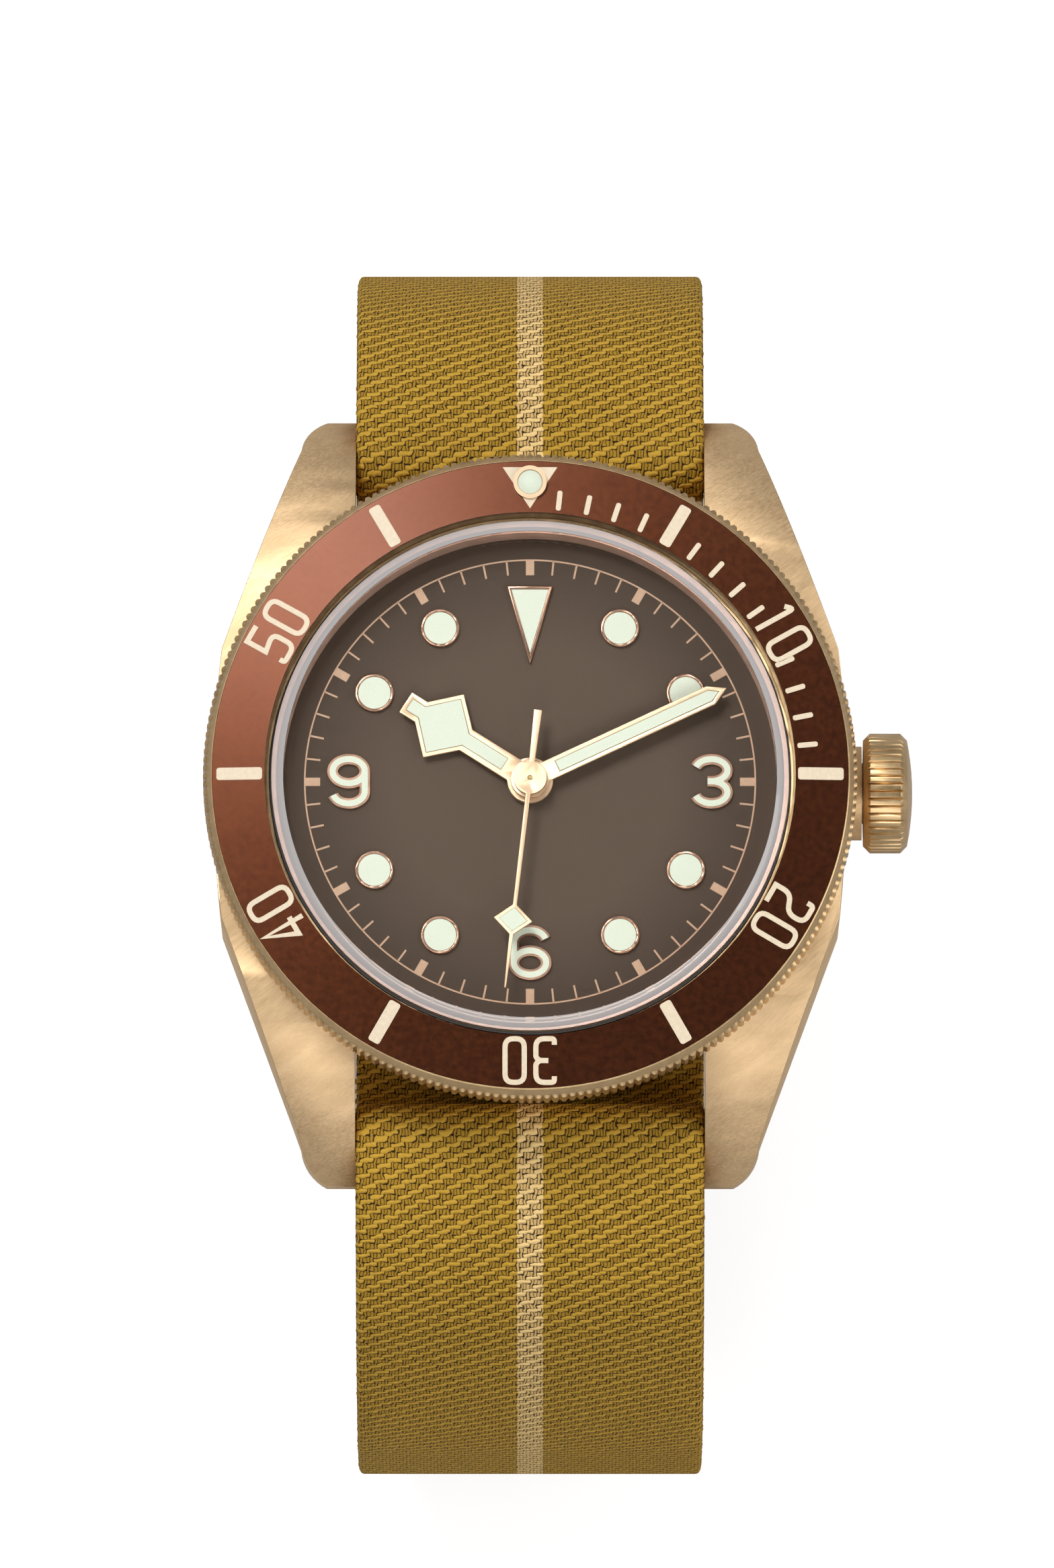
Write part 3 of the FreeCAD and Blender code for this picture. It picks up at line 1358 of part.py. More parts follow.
bar.pad("-1 * frame_outer_x + 0.62", "frame_outer_x - 0.62", plane="YZ",
        circles=[("buckle_bar_y", "buckle_bar_z", "buckle_bar_radius - seat_gap")])

reach_y = num("buckle_bar_y - tang_end_y")
reach_z = num("buckle_bar_z - tang_end_z")
tang_length = math.hypot(reach_y, reach_z)
tang_lean = math.degrees(math.atan2(reach_z, reach_y))
tang = Part.makeBox(num("2 * tang_half"), tang_length, num("tang_thick"),
                    Vector(num("-1 * tang_half"), -tang_length, num("-0.5 * tang_thick")))
tang = tang.fuse(Part.makeCylinder(num("tang_ring"), num("2 * tang_half"), Vector(num("-1 * tang_half"), 0, 0), ALONG))
tang = tang.cut(Part.makeCylinder(num("buckle_bar_radius + running_gap"), 4, Vector(-2, 0, 0), ALONG))
tang.rotate(ORIGIN, ALONG, tang_lean)
shaped("buckle_tang", tang, at=("0", "buckle_bar_y", "buckle_bar_z"))


def keeper(node, middle, top):
    """A flat metal loop round the layers of the strap."""
    made = Piece(node, at=GROUND)
    low = f"{middle} - keeper_length / 2"
    high = f"{middle} + keeper_length / 2"
    made.pad("-1 * keeper_outer_x", "keeper_outer_x", plane="YZ", loops=[f"""
        {low}, 0
        {high}, 0
        {high}, {top} + keeper_clearance + keeper_wall
        {low}, {top} + keeper_clearance + keeper_wall
    """])
    made.pad("-1 * keeper_inner_x", "keeper_inner_x", plane="YZ", cut=True, loops=[f"""
        {low} - 1, keeper_wall
        {high} + 1, keeper_wall
        {high} + 1, {top} + keeper_clearance
        {low} - 1, {top} + keeper_clearance
    """])


keeper("fixed_keeper", "fixed_keeper_y", "fold_top_z")
keeper("sliding_keeper", "sliding_keeper_y", "(inner_run_z + strap_thick / 2)")

# --- write every sub-part -------------------------------------------------------------------
doc.recompute()
os.makedirs("parts", exist_ok=True)
for item in doc.Objects:
    if "Invalid" in item.State or "Error" in item.State:
        raise RuntimeError(f"{item.Name}: {item.State}")
for item in nodes:
    shape = item.Shape
    if shape.isNull() or not shape.isValid() or not shape.Solids:
        raise RuntimeError(f"{item.Label}: the shape is null, invalid or has no solid")
    shape.exportStep(f"parts/{item.Label}.step")
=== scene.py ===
import bmesh
import bpy
import json
import math
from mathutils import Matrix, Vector
from mathutils.geometry import delaunay_2d_cdt


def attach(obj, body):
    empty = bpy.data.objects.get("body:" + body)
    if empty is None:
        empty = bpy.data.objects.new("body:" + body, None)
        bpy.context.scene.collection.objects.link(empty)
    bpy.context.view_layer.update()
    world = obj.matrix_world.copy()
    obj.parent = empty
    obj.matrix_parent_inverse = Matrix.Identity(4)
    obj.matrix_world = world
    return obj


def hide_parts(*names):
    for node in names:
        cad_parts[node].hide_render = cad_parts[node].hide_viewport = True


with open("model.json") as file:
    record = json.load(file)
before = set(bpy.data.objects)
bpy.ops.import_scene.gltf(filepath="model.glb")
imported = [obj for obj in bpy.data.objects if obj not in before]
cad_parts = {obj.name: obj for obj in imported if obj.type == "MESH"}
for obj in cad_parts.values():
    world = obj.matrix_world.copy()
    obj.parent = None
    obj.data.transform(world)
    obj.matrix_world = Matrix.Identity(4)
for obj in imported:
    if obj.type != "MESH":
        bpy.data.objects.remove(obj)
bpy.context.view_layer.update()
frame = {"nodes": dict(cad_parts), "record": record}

MM = 0.001
TURN = 2 * math.pi
NODES = frame["nodes"]

# Sizes of the source model that the looks follow, millimetres.
HEAD = 49.0
BEZEL_TOP = 12.85
BEZEL_RADIUS = 21.5
BEZEL_RIM = 20.95
BEZEL_BORE = 18.1
BEZEL_LIP = 17.3
INSERT_OUTER = 20.9
INSERT_INNER = 17.45
INSERT_BED = 12.1
INSERT_RISE = 0.3
DIAL_TOP = 9.0
STRAP_WIDTH = 22.98
STRAP_THICK = 1.2

# --- node helpers -------------------------------------------------------------


class Tree:
    """Adds and links nodes in a material or a group."""

    def __init__(self, tree):
        self.tree = tree

    def add(self, kind, **settings):
        node = self.tree.nodes.new(kind)
        for name, value in settings.items():
            setattr(node, name, value)
        return node

    def link(self, out, into):
        self.tree.links.new(out, into)

    def put(self, socket, value):
        if hasattr(value, "links"):
            self.link(value, socket)
        else:
            socket.default_value = value

    def math(self, operation, *values, clamp=False):
        node = self.add("ShaderNodeMath", operation=operation, use_clamp=clamp)
        for socket, value in zip(node.inputs, values):
            self.put(socket, value)
        return node.outputs[0]

    def mix(self, factor, a, b, blend="MIX"):
        node = self.add("ShaderNodeMix", data_type="RGBA", blend_type=blend)
        self.put(node.inputs[0], factor)
        self.put(node.inputs[6], a)
        self.put(node.inputs[7], b)
        return node.outputs[2]

    def noise(self, vector, scale, detail=3.0, roughness=0.55):
        node = self.add("ShaderNodeTexNoise")
        self.put(node.inputs["Vector"], vector)
        settle(node, {"Scale": scale, "Detail": detail, "Roughness": roughness})
        return node.outputs["Fac"]

    def stretch(self, vector, scale, turn=0.0):
        node = self.add("ShaderNodeMapping")
        self.put(node.inputs["Vector"], vector)
        settle(node, {"Scale": scale, "Rotation": (0, 0, turn)})
        return node.outputs[0]

    def from_axis(self):
        """Distance from the head's axis, metres."""
        flat = self.add("ShaderNodeVectorMath", operation="MULTIPLY")
        self.link(self.add("ShaderNodeTexCoord").outputs["Object"], flat.inputs[0])
        flat.inputs[1].default_value = (1, 1, 0)
        away = self.add("ShaderNodeVectorMath", operation="LENGTH")
        self.link(flat.outputs[0], away.inputs[0])
        return away.outputs["Value"]

    def bump(self, height, strength, distance, shader):
        node = self.add("ShaderNodeBump")
        settle(node, {"Strength": strength, "Distance": distance})
        self.link(height, node.inputs["Height"])
        self.link(node.outputs[0], shader.inputs["Normal"])

    def mix_shaders(self, factor, first, second):
        node = self.add("ShaderNodeMixShader")
        self.put(node.inputs[0], factor)
        self.link(first, node.inputs[1])
        self.link(second, node.inputs[2])
        return node.outputs[0]

    def range(self, value, low, high, to_low, to_high):
        node = self.add("ShaderNodeMapRange")
        self.put(node.inputs["Value"], value)
        for name, number in (("From Min", low), ("From Max", high), ("To Min", to_low), ("To Max", to_high)):
            self.put(node.inputs[name], number)
        return node.outputs[0]


def settle(node, values):
    """Set a node's uniform inputs by name."""
    for name, value in values.items():
        node.inputs[name].default_value = value


def group(name, inputs, outputs):
    """An empty shader group with named sockets, its tree helper, inputs and outputs."""
    made = bpy.data.node_groups.new(name, "ShaderNodeTree")
    for title, kind, value in inputs:
        socket = made.interface.new_socket(title, in_out="INPUT", socket_type=kind)
        socket.default_value = value
    for title, kind in outputs:
        made.interface.new_socket(title, in_out="OUTPUT", socket_type=kind)
    tree = Tree(made)
    return made, tree, tree.add("NodeGroupInput").outputs, tree.add("NodeGroupOutput").inputs


FLOAT, COLOUR, VECTOR = "NodeSocketFloat", "NodeSocketColor", "NodeSocketVector"


def grain_group():
    """Fine streaks or speckle that vary a metal's colour, roughness and surface."""
    made, tree, given, result = group("MetalGrain", [
        ("Place", VECTOR, (0, 0, 0)), ("Light", COLOUR, (0.8, 0.6, 0.4, 1)),
        ("Dark", COLOUR, (0.6, 0.4, 0.25, 1)), ("Rough Low", FLOAT, 0.2), ("Rough High", FLOAT, 0.4),
    ], [("Colour", COLOUR), ("Roughness", FLOAT), ("Height", FLOAT)])
    fine = tree.noise(given["Place"], 1.0, 4.0, 0.6)
    broad = tree.noise(given["Place"], 0.13, 2.0, 0.5)
    blended = tree.math("ADD", tree.math("MULTIPLY", fine, 0.65), tree.math("MULTIPLY", broad, 0.35))
    spread = tree.range(blended, 0.35, 0.65, 0.0, 1.0)
    tree.link(tree.mix(spread, given["Dark"], given["Light"]), result["Colour"])
    tree.link(tree.range(fine, 0.3, 0.7, given["Rough Low"], given["Rough High"]), result["Roughness"])
    tree.link(fine, result["Height"])
    return made


GRAIN = grain_group()


def material(name):
    made = bpy.data.materials.new(name)
    made.use_nodes = True
    tree = Tree(made.node_tree)
    shader = made.node_tree.nodes["Principled BSDF"]
    return made, tree, shader


def metal(name, light, dark, rough, streaks=(300, 300, 300), turn=0.0, bump=0.15):
    """A metal whose fine grain runs along the least-scaled direction of streaks, per metre."""
    made, tree, shader = material(name)
    place = tree.add("ShaderNodeTexCoord").outputs["Object"]
    lines = tree.stretch(tree.stretch(place, (1, 1, 1), turn), streaks)
    grain = tree.add("ShaderNodeGroup", node_tree=GRAIN)
    tree.link(lines, grain.inputs["Place"])
    settle(grain, {"Light": (*light, 1), "Dark": (*dark, 1), "Rough Low": rough[0], "Rough High": rough[1]})
    tree.link(grain.outputs["Colour"], shader.inputs["Base Color"])
    tree.link(grain.outputs["Roughness"], shader.inputs["Roughness"])
    tree.bump(grain.outputs["Height"], bump, 0.02 * MM, shader)
    shader.inputs["Metallic"].default_value = 1.0
    return made


def plastic(name, light, dark, rough, speckle=2500, bump=0.1):
    """A painted, moulded or printed surface with faint mottling."""
    made, tree, shader = material(name)
    place = tree.add("ShaderNodeTexCoord").outputs["Object"]
    spots = tree.noise(place, speckle, 4.0)
    share = tree.range(spots, 0.3, 0.7, 0, 1)
    tree.link(tree.mix(share, (*dark, 1), (*light, 1)), shader.inputs["Base Color"])
    tree.link(tree.range(spots, 0.3, 0.7, rough[0], rough[1]), shader.inputs["Roughness"])
    tree.bump(spots, bump, 0.01 * MM, shader)
    return made


BRONZE = metal("bronze_brushed", (0.87, 0.63, 0.37), (0.68, 0.47, 0.26), (0.46, 0.60),
               (900, 8500, 8500), turn=math.radians(-38), bump=0.5)
BRONZE_POLISHED = metal("bronze_polished", (0.76, 0.55, 0.33), (0.70, 0.50, 0.29), (0.16, 0.24),
                        (700, 700, 700), bump=0.05)
BRONZE_SATIN = metal("bronze_satin", (0.69, 0.49, 0.265), (0.54, 0.37, 0.19), (0.32, 0.42),
                     (1200, 1200, 1200), bump=0.08)
STEEL = metal("steel_brushed", (0.62, 0.62, 0.62), (0.48, 0.48, 0.48), (0.25, 0.4), (250, 9000, 9000))
NICKEL = metal("nickel_plate", (0.72, 0.70, 0.66), (0.60, 0.58, 0.54), (0.25, 0.4), (1500, 1500, 1500))
GILT = metal("gilt_wheel", (0.85, 0.66, 0.30), (0.70, 0.52, 0.22), (0.2, 0.35), (1500, 1500, 1500))
BLUED = metal("screw_blue", (0.12, 0.18, 0.42), (0.08, 0.12, 0.30), (0.15, 0.3), (1500, 1500, 1500))
ROSE = metal("hand_rose", (0.80, 0.59, 0.39), (0.73, 0.53, 0.34), (0.46, 0.54), (900, 900, 900), bump=0.04)
MARKER_ROSE = metal("marker_rose", (0.52, 0.32, 0.22), (0.40, 0.235, 0.155), (0.28, 0.36),
                    (1500, 1500, 1500), bump=0.04)
LUME = plastic("lume", (0.70, 0.76, 0.62), (0.65, 0.71, 0.57), (0.5, 0.65), 9000)


def dial_paint():
    """Matt brown with painted shade that darkens it towards the dial's edge."""
    made = plastic("dial_brown", (0.099, 0.069, 0.048), (0.091, 0.063, 0.044), (0.6, 0.7), 14000, bump=0.04)
    tree = Tree(made.node_tree)
    shader = made.node_tree.nodes["Principled BSDF"]
    shader.inputs["Specular IOR Level"].default_value = 0.2
    paint = shader.inputs["Base Color"].links[0].from_socket
    # Painted shade: the paint is mixed towards near-black from 9 mm out to the dial's edge.
    edge = tree.range(tree.from_axis(), 9.0 * MM, 16.0 * MM, 0.0, 0.72)
    tree.link(tree.mix(edge, paint, (0.030, 0.020, 0.013, 1)), shader.inputs["Base Color"])
    return made


DIAL = dial_paint()
PRINT = plastic("dial_print", (0.52, 0.34, 0.22), (0.46, 0.30, 0.19), (0.35, 0.45), 4000)
MARK = plastic("bezel_mark", (0.78, 0.66, 0.48), (0.70, 0.58, 0.42), (0.4, 0.55), 4000)
RUBBER = plastic("seal_rubber", (0.03, 0.03, 0.03), (0.02, 0.02, 0.02), (0.55, 0.7))
SPACER = plastic("spacer", (0.75, 0.75, 0.72), (0.70, 0.70, 0.67), (0.45, 0.6))
INSERT = metal("insert_brown", (0.135, 0.034, 0.009), (0.115, 0.028, 0.007), (0.30, 0.38),
               (2500, 2500, 2500), bump=0.08)
settle(INSERT.node_tree.nodes["Principled BSDF"],
       {"Coat Weight": 0.9, "Coat Roughness": 0.21, "Coat IOR": 1.5})
REHAUT = metal("rehaut_rose", (0.92, 0.66, 0.52), (0.84, 0.60, 0.47), (0.45, 0.55), (900, 900, 900))


CRYSTAL_IOR = 1.6
CRYSTAL_CLEAR = 16.22


def clear_material():
    """Crystal: clear within its flat, partly ground at its rim, and open to shadow rays."""
    made, tree, shader = material("crystal_clear")
    settle(shader, {"Base Color": (1, 1, 1, 1), "Roughness": 0.0, "IOR": CRYSTAL_IOR,
                    "Transmission Weight": 1.0})
    rim = tree.math("GREATER_THAN", tree.from_axis(), CRYSTAL_CLEAR * MM)
    bent = tree.add("ShaderNodeBsdfRefraction")
    settle(bent, {"IOR": CRYSTAL_IOR, "Roughness": 0.0})
    ground = tree.add("ShaderNodeBsdfDiffuse")
    ground.inputs["Color"].default_value = (0.90, 0.88, 0.88, 1)
    edge = tree.mix_shaders(0.45, shader.outputs[0], ground.outputs[0])
    glass = tree.mix_shaders(rim, bent.outputs[0], edge)
    ray = tree.add("ShaderNodeLightPath").outputs
    passing = tree.math("MAXIMUM", ray["Is Shadow Ray"], ray["Is Diffuse Ray"])
    both = tree.mix_shaders(passing, glass, tree.add("ShaderNodeBsdfTransparent").outputs[0])
    tree.link(both, made.node_tree.nodes["Material Output"].inputs["Surface"])
    return made


CRYSTAL = clear_material()

FINISH = {
    "case_bronze": BRONZE, "back_steel": STEEL, "seal_rubber": RUBBER, "crystal_glass": CRYSTAL,
    "rehaut_bronze": REHAUT, "insert_brown": INSERT, "hand_gold": ROSE, "lume": LUME,
    "spring_steel": STEEL, "screw_steel": BLUED, "ring_plastic": SPACER, "plate_nickel": NICKEL,
    "wheel_brass": GILT, "dial_brown": DIAL, "strap_fabric": DIAL,
}
SLOT_OF = {part["node"]: part["material_slot"] for part in frame["record"]["subparts"]}
for node, item in NODES.items():
    item.data.materials.clear()
    item.data.materials.append(FINISH[SLOT_OF[node]])

# --- mesh helpers --------------------------------------------------------------


def in_scene(name, data):
    made = bpy.data.objects.new(name, data)
    bpy.context.scene.collection.objects.link(made)
    return made


def final_mesh(made):
    """An object's mesh with its modifiers applied."""
    bpy.context.view_layer.update()
    return bpy.data.meshes.new_from_object(made.evaluated_get(bpy.context.evaluated_depsgraph_get()))


def body_of(node):
    return next(body for body, held in frame["record"]["behaviour"]["bodies"].items() if node in held)


def piece(name, mesh, finish, body, smooth=40, replaces=()):
    """Put a mesh in the scene, shade it, let it ride and hide the source nodes it stands for."""
    made = in_scene(name, mesh)
    if finish:
        mesh.materials.append(finish)
    if smooth:
        mesh.shade_smooth()
        mesh.set_sharp_from_angle(angle=math.radians(smooth))
    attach(made, body)
    if replaces:
        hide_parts(*replaces)
    return made


def mesh_from(name, points, faces):
    made = bpy.data.meshes.new(name)
    made.from_pydata([tuple(c * MM for c in point) for point in points], [], faces)
    made.validate()
    made.update()
    return made


def faced_out(mesh):
    """Turn all faces of a mesh outwards."""
    build = bmesh.new()
    build.from_mesh(mesh)
    bmesh.ops.recalc_face_normals(build, faces=build.faces)
    build.to_mesh(mesh)
    build.free()
    return mesh


def softened(name, node, finish, width, segments=3, angle=30, edge_finish=None):
    """A copy of a source node with its sharp edges rounded, standing for that node."""
    mesh = NODES[node].data.copy()
    mesh.materials.clear()
    build = bmesh.new()
    build.from_mesh(mesh)
    bmesh.ops.remove_doubles(build, verts=build.verts, dist=2e-7)
    bmesh.ops.dissolve_limit(build, angle_limit=math.radians(1.0), verts=build.verts, edges=build.edges)
    build.to_mesh(mesh)
    build.free()
    made = in_scene(name + "_raw", mesh)
    bevel = made.modifiers.new("edge", "BEVEL")
    bevel.width = width * MM
    bevel.segments = segments
    bevel.limit_method = "ANGLE"
    bevel.angle_limit = math.radians(angle)
    bevel.harden_normals = True
    bevel.use_clamp_overlap = True
    if edge_finish:
        mesh.materials.append(finish)
        mesh.materials.append(edge_finish)
        bevel.material = 1
    baked = final_mesh(made)
    bpy.data.objects.remove(made)
    return piece(name, baked, None if edge_finish else finish, body_of(node),
                 smooth=35, replaces=[node])


# --- repeated forms ---------------------------------------------------------------


INTEGER, SURFACE = "NodeSocketInt", "NodeSocketMaterial"


def geometry_group(name, inputs):
    """A geometry group with named inputs, its tree helper, its inputs and its result."""
    made = bpy.data.node_groups.new(name, "GeometryNodeTree")
    for title, kind, value in inputs:
        socket = made.interface.new_socket(title, in_out="INPUT", socket_type=kind)
        if value is not None:
            socket.default_value = value
    made.interface.new_socket("Geometry", in_out="OUTPUT", socket_type="NodeSocketGeometry")
    tree = Tree(made)
    return made, tree, tree.add("NodeGroupInput").outputs, tree.add("NodeGroupOutput").inputs["Geometry"]


def painted(tree, geometry, surface, result):
    """End a geometry group by giving all of it one material."""
    node = tree.add("GeometryNodeSetMaterial")
    tree.link(geometry, node.inputs["Geometry"])
    tree.link(surface, node.inputs["Material"])
    tree.link(node.outputs[0], result)


def grown(name, data, grower, values):
    """The mesh that a geometry group makes of some data, its inputs set by name."""
    carrier = in_scene(name, data)
    maker = carrier.modifiers.new("grow", "NODES")
    maker.node_group = grower
    for socket in grower.interface.items_tree:
        if socket.in_out == "INPUT" and socket.name in values:
            maker[socket.identifier] = values[socket.name]
    mesh = final_mesh(carrier)
    bpy.data.objects.remove(carrier)
    return mesh


def around_group():
    """Geometry nodes: instances of one mesh at even steps about +Z, some skipped, then made real."""
    made, tree, given, result = geometry_group("RepeatAround", [
        ("Piece", "NodeSocketObject", None), ("Count", INTEGER, 12), ("First", INTEGER, 0),
        ("Last", INTEGER, 1000), ("Skip Every", INTEGER, 0), ("Surface", SURFACE, None)])
    source = tree.add("GeometryNodeObjectInfo")
    tree.link(given["Piece"], source.inputs["Object"])
    points = tree.add("GeometryNodePoints")
    tree.link(given["Count"], points.inputs["Count"])
    index = tree.add("GeometryNodeInputIndex").outputs[0]
    share = tree.math("DIVIDE", index, given["Count"])
    angle = tree.math("MULTIPLY", share, -TURN)
    turned = tree.add("ShaderNodeCombineXYZ")
    tree.link(angle, turned.inputs["Z"])
    not_before = tree.math("GREATER_THAN", index, tree.math("SUBTRACT", given["First"], 0.5))
    not_after = tree.math("LESS_THAN", index, tree.math("ADD", given["Last"], 0.5))
    inside = tree.math("MULTIPLY", not_before, not_after)
    beside = tree.math("GREATER_THAN", tree.math("MODULO", index, given["Skip Every"]), 0.5)
    kept = tree.math("MAXIMUM", beside, tree.math("LESS_THAN", given["Skip Every"], 0.5))
    chosen = tree.math("MULTIPLY", inside, kept)
    placed = tree.add("GeometryNodeInstanceOnPoints")
    tree.link(points.outputs[0], placed.inputs["Points"])
    tree.link(source.outputs["Geometry"], placed.inputs["Instance"])
    tree.link(chosen, placed.inputs["Selection"])
    tree.link(turned.outputs[0], placed.inputs["Rotation"])
    real = tree.add("GeometryNodeRealizeInstances")
    tree.link(placed.outputs[0], real.inputs[0])
    welded = tree.add("GeometryNodeMergeByDistance")
    welded.inputs["Distance"].default_value = 1e-7
    tree.link(real.outputs[0], welded.inputs[0])
    painted(tree, welded.outputs[0], given["Surface"], result)
    return made


AROUND = around_group()


def repeated(mesh, surface, count, last=1000, skip=0):
    """One mesh repeated clockwise from twelve, baked to a plain mesh."""
    single = in_scene("single", mesh)
    baked = grown("carrier", bpy.data.meshes.new("carrier"), AROUND,
                  {"Piece": single, "Count": count, "First": 0, "Last": last, "Skip Every": skip,
                   "Surface": surface})
    bpy.data.objects.remove(single)
    return baked


# --- flat marks ---------------------------------------------------------------------


def rounded(points, radius, closed=False, steps=5):
    """A polyline with its inner corners drawn as arcs, except those marked by a third value."""
    result = []
    count = len(points)
    for at, point in enumerate(points):
        if not closed and at in (0, count - 1):
            result.append(Vector(point[:2]))
            continue
        corner = Vector(point[:2])
        before = Vector(points[at - 1][:2]) - corner
        after = Vector(points[(at + 1) % count][:2]) - corner
        reach = min(radius, before.length / 2, after.length / 2)
        if len(point) == 3:
            result.append(corner)
            continue
        start = corner + before.normalized() * reach
        end = corner + after.normalized() * reach
        for step in range(steps + 1):
            t = step / steps
            result.append(start * (1 - t) ** 2 + corner * 2 * t * (1 - t) + end * t * t)
    return result


def ribbon(points, half, closed=False):
    """Left and right edges of a band along a polyline."""
    sides = []
    count = len(points)
    for at, point in enumerate(points):
        back = points[at - 1] if at or closed else point
        ahead = points[(at + 1) % count] if at < count - 1 or closed else point
        a = (point - back).normalized() if (point - back).length > 1e-9 else (ahead - point).normalized()
        b = (ahead - point).normalized() if (ahead - point).length > 1e-9 else a
        lean = (a + b).normalized()
        normal = Vector((-lean.y, lean.x))
        width = half / max(normal.dot(Vector((-a.y, a.x))), 0.5)
        sides.append((point + normal * width, point - normal * width))
    return sides


def strip(points, half, closed=False):
    """A band along a polyline as four-cornered outlines."""
    sides = ribbon(points, half, closed)
    last = len(sides) if closed else len(sides) - 1
    return [(*sides[at], *reversed(sides[(at + 1) % len(sides)])) for at in range(last)]


class Marks:
    """Gathers thin raised marks that follow a surface, in millimetres on the head."""

    def __init__(self, surface, rise=0.03, sink=0.03):
        self.surface, self.rise, self.sink = surface, rise, sink
        self.points, self.faces = [], []

    def put(self, place, spot):
        centre, turn = place
        x = centre.x + spot.x * math.cos(turn) + spot.y * math.sin(turn)
        y = centre.y - spot.x * math.sin(turn) + spot.y * math.cos(turn)
        level = HEAD + self.surface(math.hypot(x, y))
        self.points += [(x, y, level + self.rise), (x, y, level - self.sink)]
        return len(self.points) - 2

    def fill(self, place, outlines):
        """Overlapping outlines merged into one flat mark with upright walls."""
        spots, corners = [], []
        for outline in outlines:
            turned = list(outline) if area(outline) > 0 else list(reversed(outline))
            corners.append(list(range(len(spots), len(spots) + len(turned))))
            spots += [Vector((point[0], point[1])) for point in turned]
        flat, _, triangles, *_ = delaunay_2d_cdt(spots, [], corners, 1, 1e-4)
        covered = [triangle for triangle in triangles
                   if any(holds(outline, sum((flat[at] for at in triangle), Vector((0, 0))) / 3)
                          for outline in outlines)]
        used = sorted({at for triangle in covered for at in triangle})
        rows = {at: self.put(place, flat[at]) for at in used}
        sides = set()
        for triangle in covered:
            upper = [rows[at] for at in triangle]
            self.faces += [tuple(upper), tuple(at + 1 for at in reversed(upper))]
            sides.update(zip(upper, upper[1:] + upper[:1]))
        self.faces += [(a, a + 1, b + 1, b) for a, b in sorted(sides) if (b, a) not in sides]

    def mesh(self, name):
        return faced_out(mesh_from(name, self.points, self.faces))


def holds(outline, spot):
    """True where a point lies inside an outline."""
    inside = False
    for a, b in zip(outline, (*outline[1:], outline[0])):
        if (a[1] > spot.y) != (b[1] > spot.y):
            if spot.x < a[0] + (spot.y - a[1]) * (b[0] - a[0]) / (b[1] - a[1]):
                inside = not inside
    return inside


def area(outline):
    """Twice the signed area of an outline."""
    corners = list(outline)
    return sum(a[0] * b[1] - b[0] * a[1] for a, b in zip(corners, corners[1:] + corners[:1]))


def outward(radius, minute):
    """A place at a radius with +Y pointing outwards, clockwise from twelve."""
    turn = TURN * minute / 60
    return Vector((radius * math.sin(turn), radius * math.cos(turn))), turn


def upright(radius, minute):
    """The same place, with +Y pointing to twelve."""
    return outward(radius, minute)[0], 0.0


def bar(half, low, high, corner=0.0):
    """A rectangle, with rounded corners where a corner size is given."""
    box = [(-half, low), (half, low), (half, high), (-half, high)]
    return [tuple(point) for point in rounded(box, corner, True)] if corner else box


# Strokes of the bezel's digits in a unit box: corners and whether the stroke is closed. A third
# value keeps a corner sharp.
DIGITS = {
    "0": [([(0, 0), (1, 0), (1, 1), (0, 1)], True)],
    "1": [([(0.25, 0.84), (0.6, 1), (0.6, 0)], False)],
    "2": [([(0, 0.84), (0, 1), (1, 1), (1, 0.56), (0, 0.4), (0, 0, 0), (1, 0)], False)],
    "3": [([(0.04, 0.86), (0.04, 1), (1, 1), (1, 0.57), (0.8, 0.5)], False),
          ([(0.04, 0.14), (0.04, 0), (1, 0), (1, 0.43), (0.8, 0.5)], False),
          ([(0.35, 0.5), (0.86, 0.5)], False)],
    "4": [([(0.72, 0), (0.72, 1, 0), (0, 0.28, 0), (1, 0.28)], False)],
    "5": [([(0.95, 1), (0, 1, 0), (0, 0.5, 0), (1, 0.58), (1, 0), (0, 0), (0, 0.13)], False)],
}


def number(marks, place, text, wide, tall, gap, half, corner):
    """Digits drawn by strokes, centred on a place."""
    whole = len(text) * wide + (len(text) - 1) * gap
    outlines = []
    for at, digit in enumerate(text):
        left = at * (wide + gap) - whole / 2
        for stroke, closed in DIGITS[digit]:
            points = [(left + half + x * (wide - 2 * half), (y - 0.5) * (tall - 2 * half), *sharp)
                      for x, y, *sharp in stroke]
            outlines += strip(rounded(points, corner, closed), half, closed)
    marks.fill(place, outlines)


# --- bezel ------------------------------------------------------------------------
COIN_TEETH = 240
COIN_DEPTH = 0.2
COIN_LOW = 10.3
COIN_TOP = 12.2
BEZEL_FOOT = 9.75
BEZEL_SHELF = 11.6
FOOT_SLOPE = 0.35


def coin_sector():
    """One tooth's share of the bezel, closed above and below."""
    step = TURN / COIN_TEETH
    rows = []
    for share, depth in ((-0.5, COIN_DEPTH), (-0.18, 0.0), (0.18, 0.0), (0.5, COIN_DEPTH)):
        angle = TURN / 4 + share * step
        rim = BEZEL_RADIUS - depth
        profile = [
            (BEZEL_BORE, BEZEL_FOOT), (rim - FOOT_SLOPE, BEZEL_FOOT), (rim, COIN_LOW),
            (rim, COIN_TOP - 0.12),
            (BEZEL_RADIUS - COIN_DEPTH - 0.02, COIN_TOP), (BEZEL_RIM + 0.06, BEZEL_TOP - 0.04),
            (BEZEL_RIM, BEZEL_TOP), (INSERT_OUTER + 0.02, BEZEL_TOP), (INSERT_OUTER + 0.02, INSERT_BED),
            (BEZEL_LIP, INSERT_BED), (BEZEL_LIP, BEZEL_SHELF), (BEZEL_BORE, BEZEL_SHELF),
        ]
        rows.append([(r * math.cos(angle), r * math.sin(angle), HEAD + z) for r, z in profile])
    size = len(rows[0])
    faces = []
    for row in range(len(rows) - 1):
        for at in range(size):
            after = (at + 1) % size
            a, b = row * size, (row + 1) * size
            faces.append((a + at, a + after, b + after, b + at))
    made = mesh_from("coin", [point for row in rows for point in row], faces)
    made.flip_normals()
    return made


